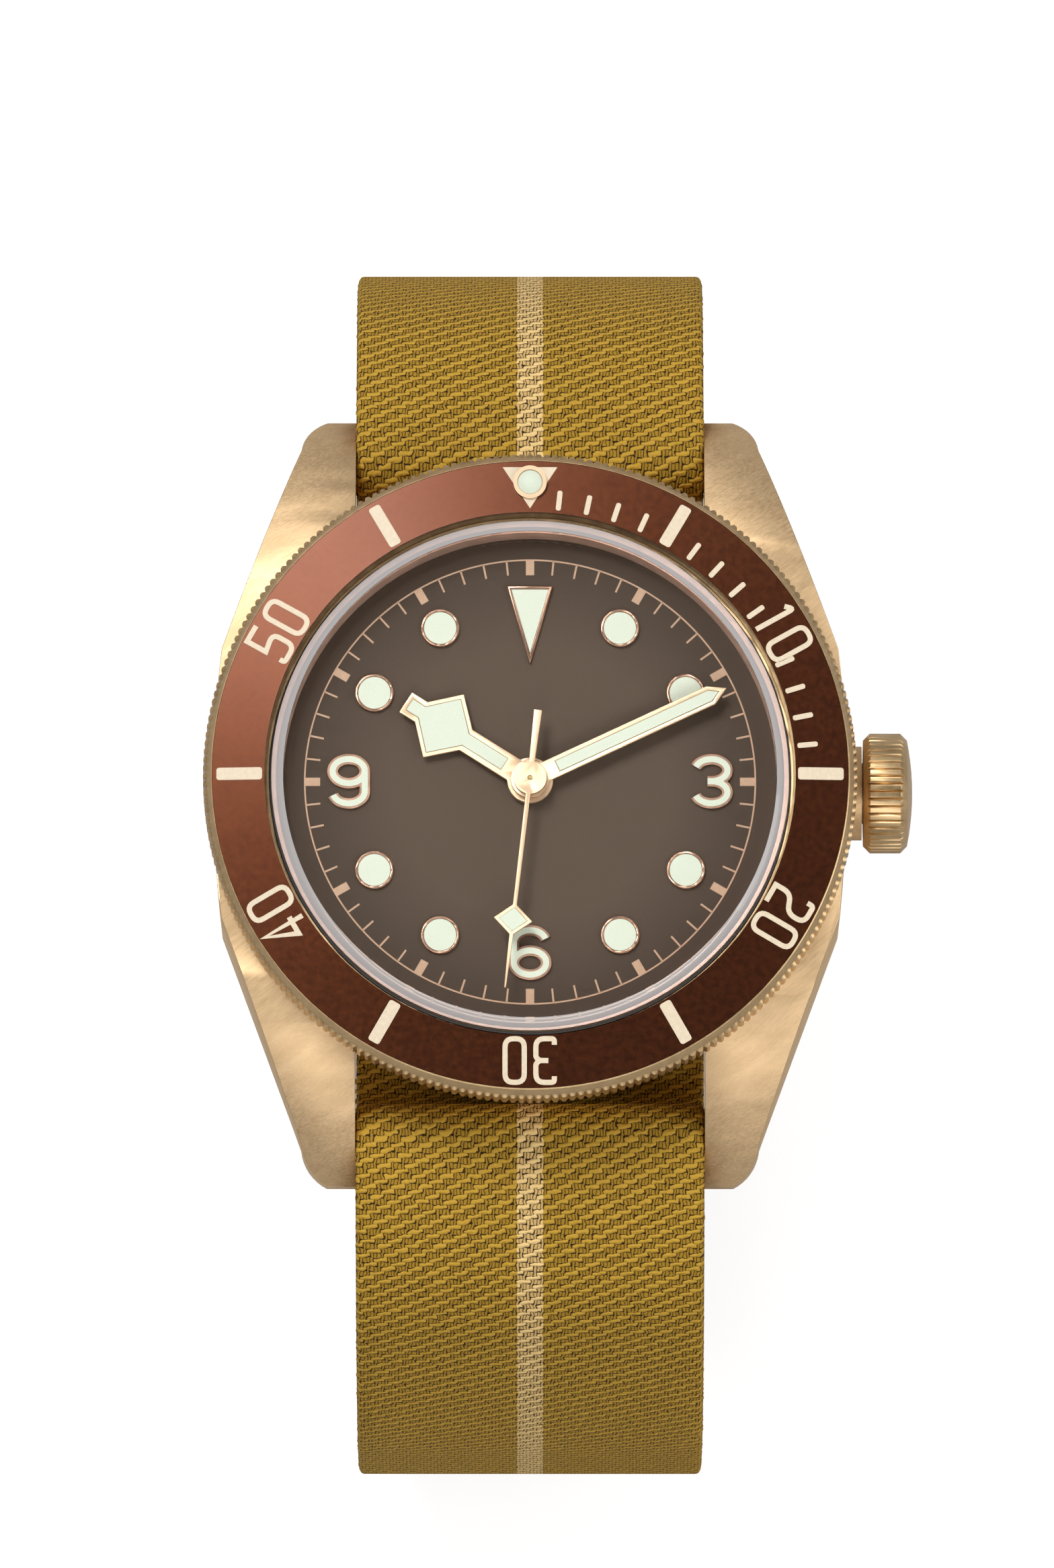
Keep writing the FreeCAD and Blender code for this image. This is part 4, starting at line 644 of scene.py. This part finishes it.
piece("bezel_coin", repeated(coin_sector(), BRONZE_SATIN, COIN_TEETH), None, "bezel",
      smooth=28, replaces=["bezel_ring"])


def insert_level(radius):
    """Height of the insert's slope at a radius."""
    share = (INSERT_OUTER - radius) / (INSERT_OUTER - INSERT_INNER)
    return BEZEL_TOP - 0.05 + INSERT_RISE * share


LONG_BAR = bar(0.41, 17.6, 20.6, 0.2)
SHORT_BAR = bar(0.17, 17.65, 19.0, 0.16)
POINTER = [(-1.8, 20.5), (1.8, 20.5), (0, 17.7)]
DIGIT_RADIUS = 19.1
DIGIT_WIDE, DIGIT_TALL, DIGIT_GAP, DIGIT_HALF, DIGIT_CORNER = 1.6, 3.2, 0.42, 0.17, 0.55

bars = Marks(insert_level)
for minute in (5, 15, 25, 35, 45, 55):
    bars.fill(outward(0, minute), [LONG_BAR])
for minute in (10, 20, 30, 40, 50):
    number(bars, outward(DIGIT_RADIUS, minute), str(minute), DIGIT_WIDE, DIGIT_TALL, DIGIT_GAP,
           DIGIT_HALF, DIGIT_CORNER)
bars.fill(outward(0, 0), [POINTER])
piece("bezel_marks", bars.mesh("bezel_marks"), MARK, "bezel", smooth=0)

tick = Marks(insert_level)
tick.fill(outward(0, 0), [SHORT_BAR])
first_ticks = repeated(tick.mesh("bezel_tick"), MARK, 60, last=14, skip=5)
piece("bezel_ticks", first_ticks, None, "bezel", smooth=0)

# --- dial -------------------------------------------------------------------------
TRACK, TRACK_HALF, TRACK_STEPS = 14.66, 0.05, 240
PRINT_RISE, HOUR_RISE = 0.012, 0.02


def dial_level(_):
    """The dial is flat: one height at every radius."""
    return DIAL_TOP


track = Marks(dial_level, PRINT_RISE)
angles = [TURN * at / TRACK_STEPS for at in range(TRACK_STEPS)]
circle = [Vector((TRACK * math.cos(angle), TRACK * math.sin(angle))) for angle in angles]
track.fill(outward(0, 0), strip(circle, TRACK_HALF, True))
piece("dial_track", track.mesh("dial_track"), PRINT, "watch", smooth=0)
tick = Marks(dial_level, PRINT_RISE)
tick.fill(outward(0, 0), [bar(0.06, 13.72, TRACK)])
dial_ticks = repeated(tick.mesh("dial_tick"), PRINT, 60, skip=5)
piece("dial_ticks", dial_ticks, None, "watch", smooth=0)
tick = Marks(dial_level, HOUR_RISE)
tick.fill(outward(0, 0), [bar(0.27, 13.66, TRACK)])
hour_bars = repeated(tick.mesh("dial_bar"), PRINT, 12)
piece("dial_bars", hour_bars, None, "watch", smooth=0)


def arc(level, rise, start, end, steps=24):
    """Points of a numeral's bowl about a level on its centre line, degrees anticlockwise from +X."""
    points = []
    for at in range(steps + 1):
        angle = math.radians(start + (end - start) * at / steps)
        points.append(Vector((NUMERAL_REACH * math.cos(angle), level + rise * math.sin(angle))))
    return points


NUMERAL_REACH = 1.05
THREE_RISE, NINE_LEVEL, NINE_RISE = 0.73, 0.67, 0.80
NINE_STEM = [Vector((NUMERAL_REACH, NINE_LEVEL))] + arc(-NINE_LEVEL, NINE_RISE, 0, -163)
SHAPES = {
    "3": [(arc(THREE_RISE, THREE_RISE, 163, -90), False), (arc(-THREE_RISE, THREE_RISE, 90, -163), False),
          ([Vector((0.3, 0)), Vector((-0.25, 0))], False)],
    "9": [(arc(NINE_LEVEL, NINE_RISE, 0, 345, 36), True), (NINE_STEM, False)],
}
SHAPES["6"] = [([-point for point in line], closed) for line, closed in SHAPES["9"]]
FRAME_RISE, FRAME_HALF = 0.22, 0.34
FILL_RISE, FILL_HALF = 0.25, 0.2
numeral_frames = Marks(dial_level, FRAME_RISE)
numeral_fills = Marks(dial_level, FILL_RISE)
for text, radius, minute in (("3", 11.8, 15), ("6", 11.3, 30), ("9", 11.8, 45)):
    for marks, half in ((numeral_frames, FRAME_HALF), (numeral_fills, FILL_HALF)):
        outlines = [quad for line, closed in SHAPES[text] for quad in strip(line, half, closed)]
        marks.fill(upright(radius, minute), outlines)
piece("numeral_frames", numeral_frames.mesh("numeral_frames"), MARKER_ROSE, "watch", smooth=0)
piece("numeral_lume", numeral_fills.mesh("numeral_lume"), LUME, "watch", smooth=0)

# --- strap ------------------------------------------------------------------------
# The loop's side profile: lengths and radii in millimetres, turns in degrees.
BAR_Y, BAR_Z, BAR_WRAP = 22.6, 2.3, 1.75
STRAP_TOP_Z = HEAD - 0.3 - STRAP_THICK / 2
TURN_UP, LEAVE, SHOULDER_TURN, SHOULDER, SIDE = 1.6, 12.0, 50.0, 16.7, 41.0
LOWER, LOWER_TURN, FLOOR = 12.5, 50.0, 17.1
INNER_Z, UNDER_Z, TAIL_Z = 3.1, 3.75, 1.75
STEP_START, STEP_SLOPE, STEP_RADIUS, TAIL_TURN = -2.4, 18.0, 4.0, 34.0
BUCKLE_Y, BUCKLE_Z, FOLD_END = 6.2, 4.25, 12.9
STRIPE_HALF, PICK, WARP = 0.85, 0.336, 0.229
PATH_STEP = 0.6
SELVEDGE_ROUND = 0.35


class Path:
    """A path of straights and bends in the side plane, sampled finely."""

    def __init__(self, y, z, heading):
        self.y, self.z, self.heading, self.run = y, z, math.radians(heading), 0.0
        self.rows = [(y, z, self.heading, 0.0)]

    def line(self, length):
        count = max(1, round(length / PATH_STEP))
        for _ in range(count):
            self.advance(length / count, 0.0)

    def bend(self, radius, degrees):
        sweep = math.radians(degrees)
        count = max(3, round(radius * abs(sweep) / PATH_STEP), round(abs(degrees) / 8))
        for _ in range(count):
            self.advance(2 * radius * math.sin(abs(sweep) / count / 2), sweep / count)

    def advance(self, chord, turn):
        self.heading += turn / 2
        self.y += chord * math.cos(self.heading)
        self.z += chord * math.sin(self.heading)
        self.heading += turn / 2
        self.run += chord
        self.rows.append((self.y, self.z, self.heading, self.run))


def strap_side(level):
    """The path from behind the case, round the spring bar and down to a level of the loop's foot."""
    path = Path(0, STRAP_TOP_Z, 0)
    path.line(BAR_Y - BAR_WRAP - TURN_UP)
    path.bend(TURN_UP, 90)
    path.line(HEAD + BAR_Z - path.z)
    path.bend(BAR_WRAP, -90 - LEAVE)
    path.bend(SHOULDER, -SHOULDER_TURN)
    path.bend(SIDE, LEAVE + SHOULDER_TURN - 90)
    turn = math.radians(LOWER_TURN)
    path.line(path.z - level - LOWER * math.sin(turn) - FLOOR * (1 - math.sin(turn)))
    path.bend(LOWER, -LOWER_TURN)
    path.bend(FLOOR, LOWER_TURN - 90)
    return path


def woven(name, path, mirror):
    """A band with rounded selvedges swept along a path, UV in millimetres across and along."""
    half, depth, edge, across = STRAP_WIDTH / 2, STRAP_THICK / 2, SELVEDGE_ROUND, 16
    section = []
    for side in (1, -1):
        for at in range(across + 1):
            section.append((side * (-half + edge + (2 * half - 2 * edge) * at / across), side * depth))
        for angle in (60, 30, 0, -30, -60):
            lean = math.radians(angle)
            section.append((side * (half - edge + edge * math.cos(lean)), side * depth * math.sin(lean)))
    points, spots, faces = [], [], []
    for y, z, heading, run in path.rows:
        for x, lift in section:
            points.append((x, (y - lift * math.sin(heading)) * mirror, z + lift * math.cos(heading)))
            spots.append((x, run * mirror))
    count = len(section)
    for row in range(len(path.rows) - 1):
        for at in range(count):
            after = (at + 1) % count
            here, onward = row * count, (row + 1) * count
            faces.append((here + at, here + after, onward + after, onward + at))
    faces.append(tuple(range(count)))
    faces.append(tuple((len(path.rows) - 1) * count + at for at in reversed(range(count))))
    made = mesh_from(name, points, faces)
    sheet = made.uv_layers.new(name="weave")
    for loop in made.loops:
        sheet.data[loop.index].uv = spots[loop.vertex_index]
    return faced_out(made)


def weave_group():
    """Cross threads over four long ones and under four, three threads further on in each row."""
    made, tree, given, result = group("Weave", [
        ("Across", FLOAT, 0.0), ("Along", FLOAT, 0.0), ("Warp", FLOAT, WARP), ("Pick", FLOAT, PICK),
    ], [("Over", FLOAT), ("Height", FLOAT), ("Gap Shade", FLOAT)])
    across = tree.math("DIVIDE", given["Across"], given["Warp"])
    along = tree.math("DIVIDE", given["Along"], given["Pick"])
    row = tree.math("FLOOR", along)
    order = tree.math("SUBTRACT", tree.math("FLOOR", across), tree.math("MULTIPLY", row, 3.0))
    phase = tree.math("FLOORED_MODULO", order, 8.0)
    over = tree.math("LESS_THAN", phase, 3.5)
    reach = tree.math("FRACT", tree.math("DIVIDE", tree.math("ADD", phase, tree.math("FRACT", across)), 4.0))
    bow = tree.math("POWER", tree.math("SINE", tree.math("MULTIPLY", reach, math.pi)), 0.6)
    lean = tree.math("MULTIPLY", tree.math("SUBTRACT", reach, 0.5), 0.35)
    side = tree.math("SUBTRACT", tree.math("FRACT", along), lean, clamp=True)
    cross = tree.math("POWER", tree.math("SINE", tree.math("MULTIPLY", side, math.pi)), 0.85)
    width = tree.math("MULTIPLY", tree.math("FRACT", across), math.pi)
    long = tree.math("POWER", tree.math("SINE", width), 0.6)
    float_height = tree.math("MULTIPLY", tree.math("ADD", tree.math("MULTIPLY", bow, 0.65), 0.35), cross)
    warp_height = tree.math("MULTIPLY", tree.math("ADD", tree.math("MULTIPLY", bow, 0.7), 0.02), long)
    height = tree.math("ADD", tree.math("MULTIPLY", over, float_height),
                       tree.math("MULTIPLY", tree.math("SUBTRACT", 1.0, over), warp_height))
    tree.link(over, result["Over"])
    tree.link(height, result["Height"])
    # Mask for the painted shade between threads.
    tree.link(tree.range(height, 0.14, 0.42, 1.0, 0.0), result["Gap Shade"])
    return made


def fabric():
    """Woven cloth with a lighter stripe, its threads slightly uneven, laid out in millimetres. Light and
    shade are painted on: crossing threads lighter, threads below darker, gaps near black.
    """
    made, tree, shader = material("strap_weave")
    spot = tree.add("ShaderNodeUVMap", uv_map="weave").outputs[0]
    drift = tree.add("ShaderNodeTexNoise")
    tree.link(spot, drift.inputs["Vector"])
    drift.inputs["Scale"].default_value = 2.2
    centred = tree.add("ShaderNodeVectorMath", operation="SUBTRACT")
    tree.link(drift.outputs["Color"], centred.inputs[0])
    centred.inputs[1].default_value = (0.5, 0.5, 0.5)
    moved = tree.add("ShaderNodeVectorMath", operation="MULTIPLY_ADD")
    tree.link(centred.outputs[0], moved.inputs[0])
    moved.inputs[1].default_value = (0.36, 0.36, 0)
    tree.link(spot, moved.inputs[2])
    apart = tree.add("ShaderNodeSeparateXYZ")
    tree.link(moved.outputs[0], apart.inputs[0])
    weave = tree.add("ShaderNodeGroup", node_tree=weave_group())
    tree.link(apart.outputs[0], weave.inputs["Across"])
    tree.link(apart.outputs[1], weave.inputs["Along"])
    stripe = tree.math("LESS_THAN", tree.math("ABSOLUTE", apart.outputs[0]), STRIPE_HALF)
    fuzz = tree.noise(tree.stretch(spot, (5, 13, 1)), 1.0, 3.0)
    # Painted light and shade: each colour has a lighter copy for the crossing threads, as if lit, and a
    # darker copy for the threads below, as if shaded.
    high = tree.mix(stripe, (0.55, 0.32, 0.035, 1), (0.92, 0.64, 0.27, 1))
    low = tree.mix(stripe, (0.37, 0.205, 0.016, 1), (0.70, 0.46, 0.18, 1))
    thread = tree.mix(weave.outputs["Over"], low, high)
    thread = tree.mix(tree.range(fuzz, 0.4, 0.75, 0.0, 0.22), thread, (0.72, 0.50, 0.14, 1))
    # Painted shade: the gaps between threads are mixed towards near-black.
    tree.link(tree.mix(weave.outputs["Gap Shade"], thread, (0.030, 0.013, 0.003, 1)), shader.inputs["Base Color"])
    settle(shader, {"Roughness": 0.75, "Specular IOR Level": 0.15})
    tree.bump(weave.outputs["Height"], 0.9, 0.12 * MM, shader)
    return made


FABRIC = fabric()


def edge_group():
    """Geometry nodes: one loop of thread at every point of a path, facing along it."""
    made, tree, given, result = geometry_group("Selvedge", [
        ("Path", "NodeSocketGeometry", None), ("Across", FLOAT, 0.0001), ("Thick", FLOAT, 0.0005),
        ("Spacing", FLOAT, 0.0005), ("Spread", FLOAT, 0.2), ("Seed", INTEGER, 1),
        ("Surface", SURFACE, None)])
    line = tree.add("GeometryNodeMeshToCurve")
    tree.link(given["Path"], line.inputs[0])
    dots = tree.add("GeometryNodeCurveToPoints", mode="LENGTH")
    tree.link(line.outputs[0], dots.inputs["Curve"])
    tree.link(given["Spacing"], dots.inputs["Length"])
    ball = tree.add("GeometryNodeMeshUVSphere")
    settle(ball, {"Segments": 8, "Rings": 5, "Radius": 1.0})
    size = tree.add("ShaderNodeCombineXYZ")
    chance = tree.add("FunctionNodeRandomValue", data_type="FLOAT")
    tree.link(given["Seed"], chance.inputs["Seed"])
    tree.put(chance.inputs[2], tree.math("SUBTRACT", 1.0, given["Spread"]))
    tree.put(chance.inputs[3], tree.math("ADD", 1.0, given["Spread"]))
    tree.link(tree.math("MULTIPLY", given["Across"], chance.outputs[1]), size.inputs["X"])
    tree.link(given["Thick"], size.inputs["Y"])
    tree.link(tree.math("MULTIPLY", given["Spacing"], 0.52), size.inputs["Z"])
    placed = tree.add("GeometryNodeInstanceOnPoints")
    tree.link(dots.outputs["Points"], placed.inputs["Points"])
    tree.link(ball.outputs["Mesh"], placed.inputs["Instance"])
    tree.link(dots.outputs["Rotation"], placed.inputs["Rotation"])
    tree.link(size.outputs[0], placed.inputs["Scale"])
    real = tree.add("GeometryNodeRealizeInstances")
    tree.link(placed.outputs[0], real.inputs[0])
    painted(tree, real.outputs[0], given["Surface"], result)
    return made


SELVEDGE = edge_group()


THREAD = plastic("edge_thread", (0.46, 0.26, 0.025), (0.24, 0.13, 0.010), (0.7, 0.8), 3000)
LOOP_INSET, LOOP_ACROSS, LOOP_THICK, LOOP_SPREAD = 0.2, 0.22, 0.26, 0.18


def selvedge(name, path, mirror, seed, short=0.0):
    """Thread loops down both edges of a band, ending short of its end."""
    points, edges = [], []
    kept = [row for row in path.rows if row[3] <= path.run - short]
    for side in (-1, 1):
        first = len(points)
        points += [(side * (STRAP_WIDTH / 2 - LOOP_INSET), y * mirror, z) for y, z, _, _ in kept]
        edges += [(at, at + 1) for at in range(first, len(points) - 1)]
    line = bpy.data.meshes.new(name)
    line.from_pydata([tuple(c * MM for c in point) for point in points], edges, [])
    loops = grown(name + "_path", line, SELVEDGE, {
        "Across": LOOP_ACROSS * MM, "Thick": LOOP_THICK * MM, "Spacing": 2 * PICK * MM,
        "Spread": LOOP_SPREAD, "Seed": seed, "Surface": THREAD})
    return piece(name, loops, None, "watch", smooth=60)


def cut_away(made, cutters):
    """Cut boxes and round holes, given in millimetres, out of a piece."""
    for kind, size, place in cutters:
        if kind == "box":
            bpy.ops.mesh.primitive_cube_add(size=1, location=[c * MM for c in place])
            tool = bpy.context.object
            tool.scale = [c * MM for c in size]
        else:
            bpy.ops.mesh.primitive_cylinder_add(vertices=32, radius=size[0] * MM, depth=size[1] * MM,
                                                location=[c * MM for c in place])
            tool = bpy.context.object
        cutter = made.modifiers.new("cut", "BOOLEAN")
        cutter.operation, cutter.object, cutter.solver = "DIFFERENCE", tool, "EXACT"
        baked = final_mesh(made)
        made.modifiers.clear()
        made.data = baked
        bpy.data.objects.remove(tool)


# The far side ends folded back over the buckle's bar.
FOLD_RUN, FOLD_RADIUS, FOLD_TURN, FOLD_GAP = 1.2, 2.0, 25, 0.02
far = strap_side(INNER_Z)
RUN_START = far.y
far.line(far.y - BUCKLE_Y)
far.bend(BUCKLE_Z - INNER_Z, -180)
far.line(FOLD_RUN)
far.bend(FOLD_RADIUS, -FOLD_TURN)
dip = math.radians(FOLD_TURN)
fall = far.z - (INNER_Z + STRAP_THICK + FOLD_GAP)
far.line((fall - FOLD_RADIUS * (1 - math.cos(dip))) / math.sin(dip))
far.bend(FOLD_RADIUS, FOLD_TURN)
far.line(max(FOLD_END - far.y, PATH_STEP))

# The near side runs under it, steps down and ends in a free tail.
near = strap_side(UNDER_Z)
near.line(near.y + STEP_START)
near.bend(STEP_RADIUS, STEP_SLOPE)
slope = math.radians(STEP_SLOPE)
near.line((UNDER_Z - TAIL_Z - 2 * STEP_RADIUS * (1 - math.cos(slope))) / math.sin(slope))
near.bend(STEP_RADIUS, -STEP_SLOPE)
near.line(RUN_START + near.y)
near.bend(FLOOR + INNER_Z - TAIL_Z, -TAIL_TURN)

EYELET, PITCH = 0.9, 6.3
SLOT_HALF, SLOT_FRONT, SLOT_BACK = 1.15, -2.6, 5.6
THROUGH = 6
strap_far = piece("strap_far", woven("strap_far", far, 1), FABRIC, "watch", smooth=50)
cut_away(strap_far, [("box", (2 * SLOT_HALF, 4.2, THROUGH), (0, BUCKLE_Y, TAIL_Z + 3.65))])
strap_near = piece("strap_near", woven("strap_near", near, -1), FABRIC, "watch", smooth=50)
cut_away(strap_near, [
    ("box", (2 * SLOT_HALF, SLOT_BACK - SLOT_FRONT, THROUGH), (0, (SLOT_FRONT + SLOT_BACK) / 2, 2)),
    *[("hole", (EYELET, 3), (0, SLOT_FRONT + place * PITCH + 1.5, 4)) for place in (-1, -2)],
    ("hole", (EYELET, 1.6), (0, SLOT_BACK + PITCH + 3, 1.6)),
])
selvedge("selvedge_far", far, 1, 3, short=0.9)
selvedge("selvedge_near", near, -1, 7)
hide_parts("strap")
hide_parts("strap")

# --- source pieces with softened edges -----------------------------------------------
softened("case", "case_middle", BRONZE, 0.45, 2, edge_finish=BRONZE_POLISHED)
softened("crown_cap", "crown", BRONZE_SATIN, 0.04, 2)
softened("back_cover", "caseback", STEEL, 0.1, 2)
softened("frame", "buckle_frame", BRONZE_POLISHED, 0.35)
softened("tongue", "buckle_tang", BRONZE_POLISHED, 0.15)
softened("keeper_fixed", "fixed_keeper", BRONZE_POLISHED, 0.18)
softened("keeper_loose", "sliding_keeper", BRONZE_POLISHED, 0.18)
softened("hand_hours", "hour_hand", ROSE, 0.05, 2)
softened("hand_minutes", "minute_hand", ROSE, 0.05, 2)
softened("hand_seconds", "seconds_hand", ROSE, 0.04, 2)
softened("marker_frames", "hour_marker_frames", MARKER_ROSE, 0.05, 2)


FOOT_DEEP = 0.01


def cleared(name, node, rise):
    """A copy of a source node with its foot drawn in, so that the spring under it runs free."""
    mesh = NODES[node].data.copy()
    foot = min(corner.co.z for corner in mesh.vertices)
    for corner in mesh.vertices:
        if corner.co.z < foot + FOOT_DEEP * MM:
            corner.co.z += rise * MM
    mesh.materials.clear()
    return piece(name, mesh, FINISH[SLOT_OF[node]], body_of(node), smooth=35, replaces=[node])


cleared("fork", "pallet_fork", 0.06)

# --- camera, light and ground --------------------------------------------------------
AIM_HEIGHT = HEAD + 12.5
VIEW_ELEVATION = math.radians(80.0)
VIEW_DISTANCE = 1.8
VIEW_WIDTH = 0.06923
AIM_RIGHT = -0.0002
AIM_UP = -0.0006
middle = Vector((0, 0, AIM_HEIGHT * MM))
up = Vector((0, math.sin(VIEW_ELEVATION), math.cos(VIEW_ELEVATION)))
back = Vector((0, -math.cos(VIEW_ELEVATION), math.sin(VIEW_ELEVATION)))
aim = middle + up * AIM_UP + Vector((AIM_RIGHT, 0, 0))
camera_data = bpy.data.cameras.new("view")
camera = in_scene("view", camera_data)
camera.location = aim + back * VIEW_DISTANCE
camera.rotation_euler = back.to_track_quat("Z", "Y").to_euler()
camera_data.sensor_width = 36.0
camera_data.sensor_fit = "HORIZONTAL"
camera_data.lens = camera_data.sensor_width * VIEW_DISTANCE / VIEW_WIDTH
camera_data.clip_start = 0.05
camera_data.clip_end = 20.0
bpy.context.scene.camera = camera


def lamp(name, place, size, power):
    """A rectangular lamp that faces the watch."""
    data = bpy.data.lights.new(name, "AREA")
    data.shape = "RECTANGLE"
    data.size, data.size_y = size
    data.energy = power
    made = in_scene(name, data)
    made.location = place
    made.rotation_euler = (Vector(place) - CENTRE).to_track_quat("Z", "Y").to_euler()


CENTRE = Vector((0, 0, 0.05))
lamp("softbox", (-0.30, 0.42, 0.86), (0.34, 0.34), 5.8)
lamp("fill_right", (0.6, -0.1, 0.5), (0.4, 0.6), 1.8)
lamp("front", (0.0, -0.52, 0.64), (0.5, 0.3), 1.5)

# A studio that is dark at the floor and overhead, and plain white where the camera sees it.
world = bpy.data.worlds.new("studio")
bpy.context.scene.world = world
world.use_nodes = True
sky = Tree(world.node_tree)
plain = world.node_tree.nodes["Background"]
plain.inputs["Color"].default_value = (1, 1, 1, 1)
around = sky.add("ShaderNodeSeparateXYZ")
sky.link(sky.add("ShaderNodeTexCoord").outputs["Generated"], around.inputs[0])
rising = sky.range(around.outputs["Z"], 0.05, 0.32, 0.14, 0.5)
falling = sky.range(around.outputs["Z"], 0.70, 0.95, 0.52, 0.06)
sky.link(sky.math("MINIMUM", rising, falling), plain.inputs["Strength"])
seen = sky.add("ShaderNodeBackground")
settle(seen, {"Color": (1, 1, 1, 1), "Strength": 1.0})
ray = sky.add("ShaderNodeLightPath").outputs
backdrop = sky.mix_shaders(ray["Is Camera Ray"], plain.outputs[0], seen.outputs[0])
sky.link(backdrop, world.node_tree.nodes["World Output"].inputs["Surface"])
bpy.context.scene.view_settings.view_transform = "Standard"

# White paper that glows to the camera and through the crystal, and only takes shadow otherwise.
PAPER_HALF, PAPER_Z = 900, -0.3
corners = [(x * PAPER_HALF, y * PAPER_HALF, PAPER_Z) for x, y in ((-1, -1), (1, -1), (1, 1), (-1, 1))]
ground_mesh = mesh_from("ground", corners, [(0, 1, 2, 3)])
ground = in_scene("ground", ground_mesh)
paper, sheet, shader = material("ground_white")
settle(shader, {"Base Color": (0.45, 0.45, 0.45, 1), "Roughness": 0.9, "Specular IOR Level": 0.1})
glow = sheet.add("ShaderNodeEmission")
glow.inputs["Strength"].default_value = 0.74
glowing = sheet.add("ShaderNodeAddShader")
sheet.link(shader.outputs[0], glowing.inputs[0])
sheet.link(glow.outputs[0], glowing.inputs[1])
ray = sheet.add("ShaderNodeLightPath").outputs
direct = sheet.math("MAXIMUM", ray["Is Camera Ray"], ray["Is Transmission Ray"])
look = sheet.mix_shaders(direct, shader.outputs[0], glowing.outputs[0])
sheet.link(look, paper.node_tree.nodes["Material Output"].inputs["Surface"])
ground_mesh.materials.append(paper)
